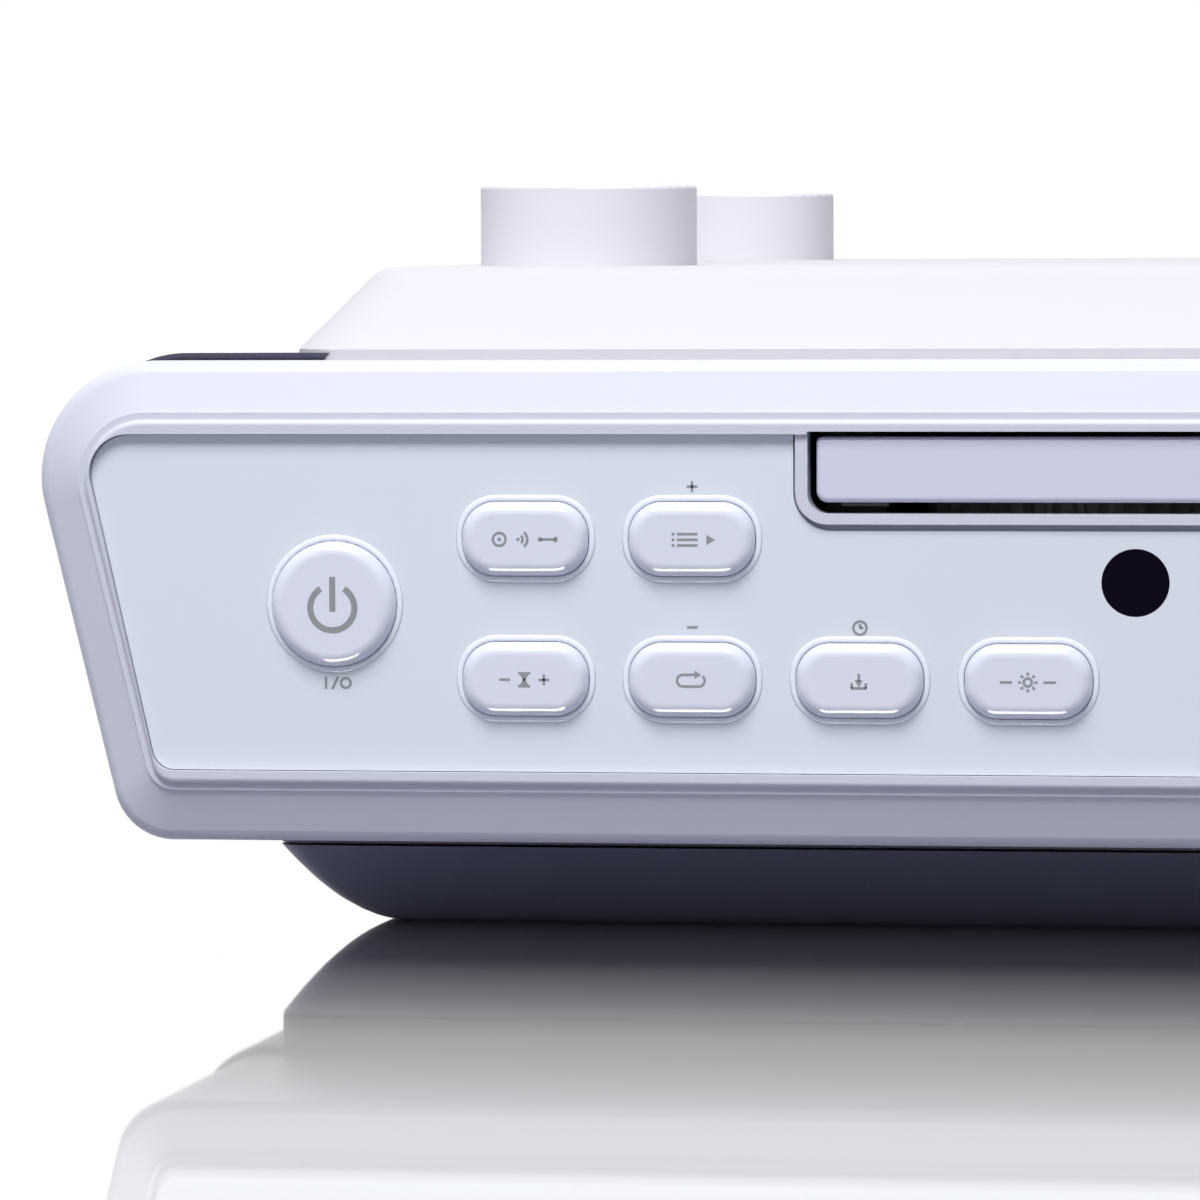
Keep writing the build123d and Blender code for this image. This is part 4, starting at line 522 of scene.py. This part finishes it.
def figure_strokes(figure, x):
    """The lit segments of one figure."""
    half = figure_height / 2
    side = figure_width / 2
    gap = figure_stroke * 0.6
    spots = {
        "a": (x, half, figure_width - gap, 0),
        "g": (x, 0, figure_width - gap, 0),
        "d": (x, -half, figure_width - gap, 0),
        "b": (x + side, half / 2, half - gap, 90), "c": (x + side, -half / 2, half - gap, 90),
        "f": (x - side, half / 2, half - gap, 90), "e": (x - side, -half / 2, half - gap, 90),
    }
    return [(bar, *spots[row][:3], figure_stroke, spots[row][3]) for row in segment_rows[figure]]


figures = [(dot, 0, side * 0.22 * figure_height, figure_stroke * 0.6) for side in (-1, 1)]
for figure, place in zip("1200", (-1.72, -0.72, 0.72, 1.72)):
    figures += figure_strokes(figure, place * figure_pitch)
figures_lift = 0.05 * mm
figures_y = max(window_high.y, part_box("display_module")[0].y) - figures_lift
figures_place = Vector((window_middle.x, figures_y, window_middle.z))
legend_piece("display_figures", figures, figures_place, "case", "lit_digits")

# The floor: white, with a reflection that fades towards the front
floor_half = 4.0
bm = bmesh.new()
bmesh.ops.create_grid(bm, x_segments=1, y_segments=1, size=floor_half)
floor_mesh = bpy.data.meshes.new("floor")
bm.to_mesh(floor_mesh)
bm.free()
floor = bpy.data.objects.new("floor", floor_mesh)
scene.collection.objects.link(floor)
floor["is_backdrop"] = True
# Mirror strength of the floor at depths behind the face, in millimetres
mirror_stops = [(-330, 0.06), (-150, 0.40), (-102, 0.50), (-52, 0.66), (-19, 0.85), (17, 0.98), (60, 1.0)]
fade_start = face_y + mirror_stops[-1][0] * mm
fade_end = face_y + mirror_stops[0][0] * mm


def floor_material():
    """White for the camera with a fading mirror image, and a dull grey for soft light."""
    material = bpy.data.materials.new("mirror_white_floor")
    material.use_nodes = True
    tree = material.node_tree
    tree.nodes.clear()
    links = tree.links
    place = tree.nodes.new("ShaderNodeTexCoord")
    split = tree.nodes.new("ShaderNodeSeparateXYZ")
    links.new(place.outputs["Object"], split.inputs[0])
    along = node(tree, "ShaderNodeMapRange", in_1=fade_end, in_2=fade_start, in_3=0.0, in_4=1.0)
    links.new(split.outputs["Y"], along.inputs[0])
    fade = tree.nodes.new("ShaderNodeValToRGB")
    links.new(along.outputs[0], fade.inputs[0])
    first, last = mirror_stops[0][0], mirror_stops[-1][0]
    stops = fade.color_ramp.elements
    for depth, strength in mirror_stops[1:-1]:
        stops.new((depth - first) / (last - first))
    for stop, (depth, strength) in zip(stops, mirror_stops):
        stop.position = (depth - first) / (last - first)
        stop.color = (strength, strength, strength, 1)
    mirror = node(tree, "ShaderNodeBsdfGlossy", in_1=0.03)
    mirror.inputs["Color"].default_value = (1, 1, 1, 1)
    glow = node(tree, "ShaderNodeEmission", in_1=1.0)
    plain = node(tree, "ShaderNodeBsdfDiffuse")
    plain.inputs["Color"].default_value = (0.85, 0.85, 0.85, 1)
    ray = tree.nodes.new("ShaderNodeLightPath")
    seen = node(tree, "ShaderNodeMath", operation="MAXIMUM")
    links.new(ray.outputs["Is Camera Ray"], seen.inputs[0])
    links.new(ray.outputs["Is Glossy Ray"], seen.inputs[1])
    seen_clear = node(tree, "ShaderNodeMath", operation="MAXIMUM")
    links.new(seen.outputs[0], seen_clear.inputs[0])
    links.new(ray.outputs["Is Transmission Ray"], seen_clear.inputs[1])
    lit = node(tree, "ShaderNodeMath", operation="MULTIPLY", in_1=0.8)
    links.new(seen_clear.outputs[0], lit.inputs[0])
    white = tree.nodes.new("ShaderNodeMixShader")
    links.new(lit.outputs[0], white.inputs[0])
    links.new(plain.outputs[0], white.inputs[1])
    links.new(glow.outputs[0], white.inputs[2])
    both = tree.nodes.new("ShaderNodeMixShader")
    links.new(fade.outputs[0], both.inputs[0])
    links.new(white.outputs[0], both.inputs[1])
    links.new(mirror.outputs[0], both.inputs[2])
    dull = node(tree, "ShaderNodeBsdfDiffuse")
    dull.inputs["Color"].default_value = (0.24, 0.25, 0.30, 1)
    bounce = tree.nodes.new("ShaderNodeMixShader")
    links.new(seen_clear.outputs[0], bounce.inputs[0])
    links.new(dull.outputs[0], bounce.inputs[1])
    links.new(both.outputs[0], bounce.inputs[2])
    out = tree.nodes.new("ShaderNodeOutputMaterial")
    links.new(bounce.outputs[0], out.inputs["Surface"])
    return material


floor_mesh.materials.append(floor_material())

# World: white where the camera or a reflection looks past the object, softer as light
world = bpy.data.worlds.new("studio")
scene.world = world
world.use_nodes = True
tree = world.node_tree
tree.nodes.clear()
ray = tree.nodes.new("ShaderNodeLightPath")
clear = node(tree, "ShaderNodeMath", operation="MAXIMUM")
tree.links.new(ray.outputs["Is Camera Ray"], clear.inputs[0])
tree.links.new(ray.outputs["Is Transmission Ray"], clear.inputs[1])
shiny = node(tree, "ShaderNodeMath", operation="MAXIMUM")
tree.links.new(clear.outputs[0], shiny.inputs[0])
tree.links.new(ray.outputs["Is Glossy Ray"], shiny.inputs[1])
ambient_strength = 0.35
backdrop = node(tree, "ShaderNodeBackground", in_1=1.0)
backdrop.inputs["Color"].default_value = (1, 1, 1, 1)
ambient = node(tree, "ShaderNodeBackground", in_1=ambient_strength)
ambient.inputs["Color"].default_value = (0.86, 0.90, 1.0, 1)
choice = tree.nodes.new("ShaderNodeMixShader")
tree.links.new(shiny.outputs[0], choice.inputs[0])
tree.links.new(ambient.outputs[0], choice.inputs[1])
tree.links.new(backdrop.outputs[0], choice.inputs[2])
world_out = tree.nodes.new("ShaderNodeOutputWorld")
tree.links.new(choice.outputs[0], world_out.inputs["Surface"])


def softbox(name, place, target, width, height, power, color=(1, 1, 1)):
    """A rectangular studio lamp aimed at a point."""
    lamp = bpy.data.lights.new(name, "AREA")
    lamp.shape = "RECTANGLE"
    lamp.size = width
    lamp.size_y = height
    lamp.energy = power
    lamp.color = color
    holder = bpy.data.objects.new(name, lamp)
    scene.collection.objects.link(holder)
    holder.location = place
    holder.rotation_euler = (Vector(target) - Vector(place)).to_track_quat("-Z", "Y").to_euler()


centre = (0, 0, 0.05)
softbox("key_box", (-0.18, -0.80, 1.2), centre, 0.8, 0.6, 23.5, (1.0, 0.985, 0.965))
softbox("top_box", (0.0, 0.25, 1.1), centre, 1.2, 0.5, 2.0)

# Camera: level with the top of the radio and in front of its middle, aimed at the left end of the front
eye_distance = 675 * mm
eye_height = 78.8 * mm
turned_left = 7.706
tipped_down = 3.230
leaning = 0.222
focal_pixels = 6443.3
frame_pixels = 1200
lens = bpy.data.cameras.new("camera")
lens.sensor_width = 36.0
lens.lens = focal_pixels / frame_pixels * lens.sensor_width
lens.clip_start = 0.05
lens.clip_end = 30.0
camera = bpy.data.objects.new("camera", lens)
scene.collection.objects.link(camera)
aim = (
    Matrix.Rotation(radians(turned_left), 4, "Z") @ Matrix.Rotation(radians(-tipped_down), 4, "X")
    @ Matrix.Rotation(radians(leaning), 4, "Y") @ Matrix.Rotation(radians(90), 4, "X")
)
camera.matrix_world = Matrix.Translation((0, face_y - eye_distance, eye_height)) @ aim
scene.camera = camera
scene.view_settings.view_transform = "Standard"

low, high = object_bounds()
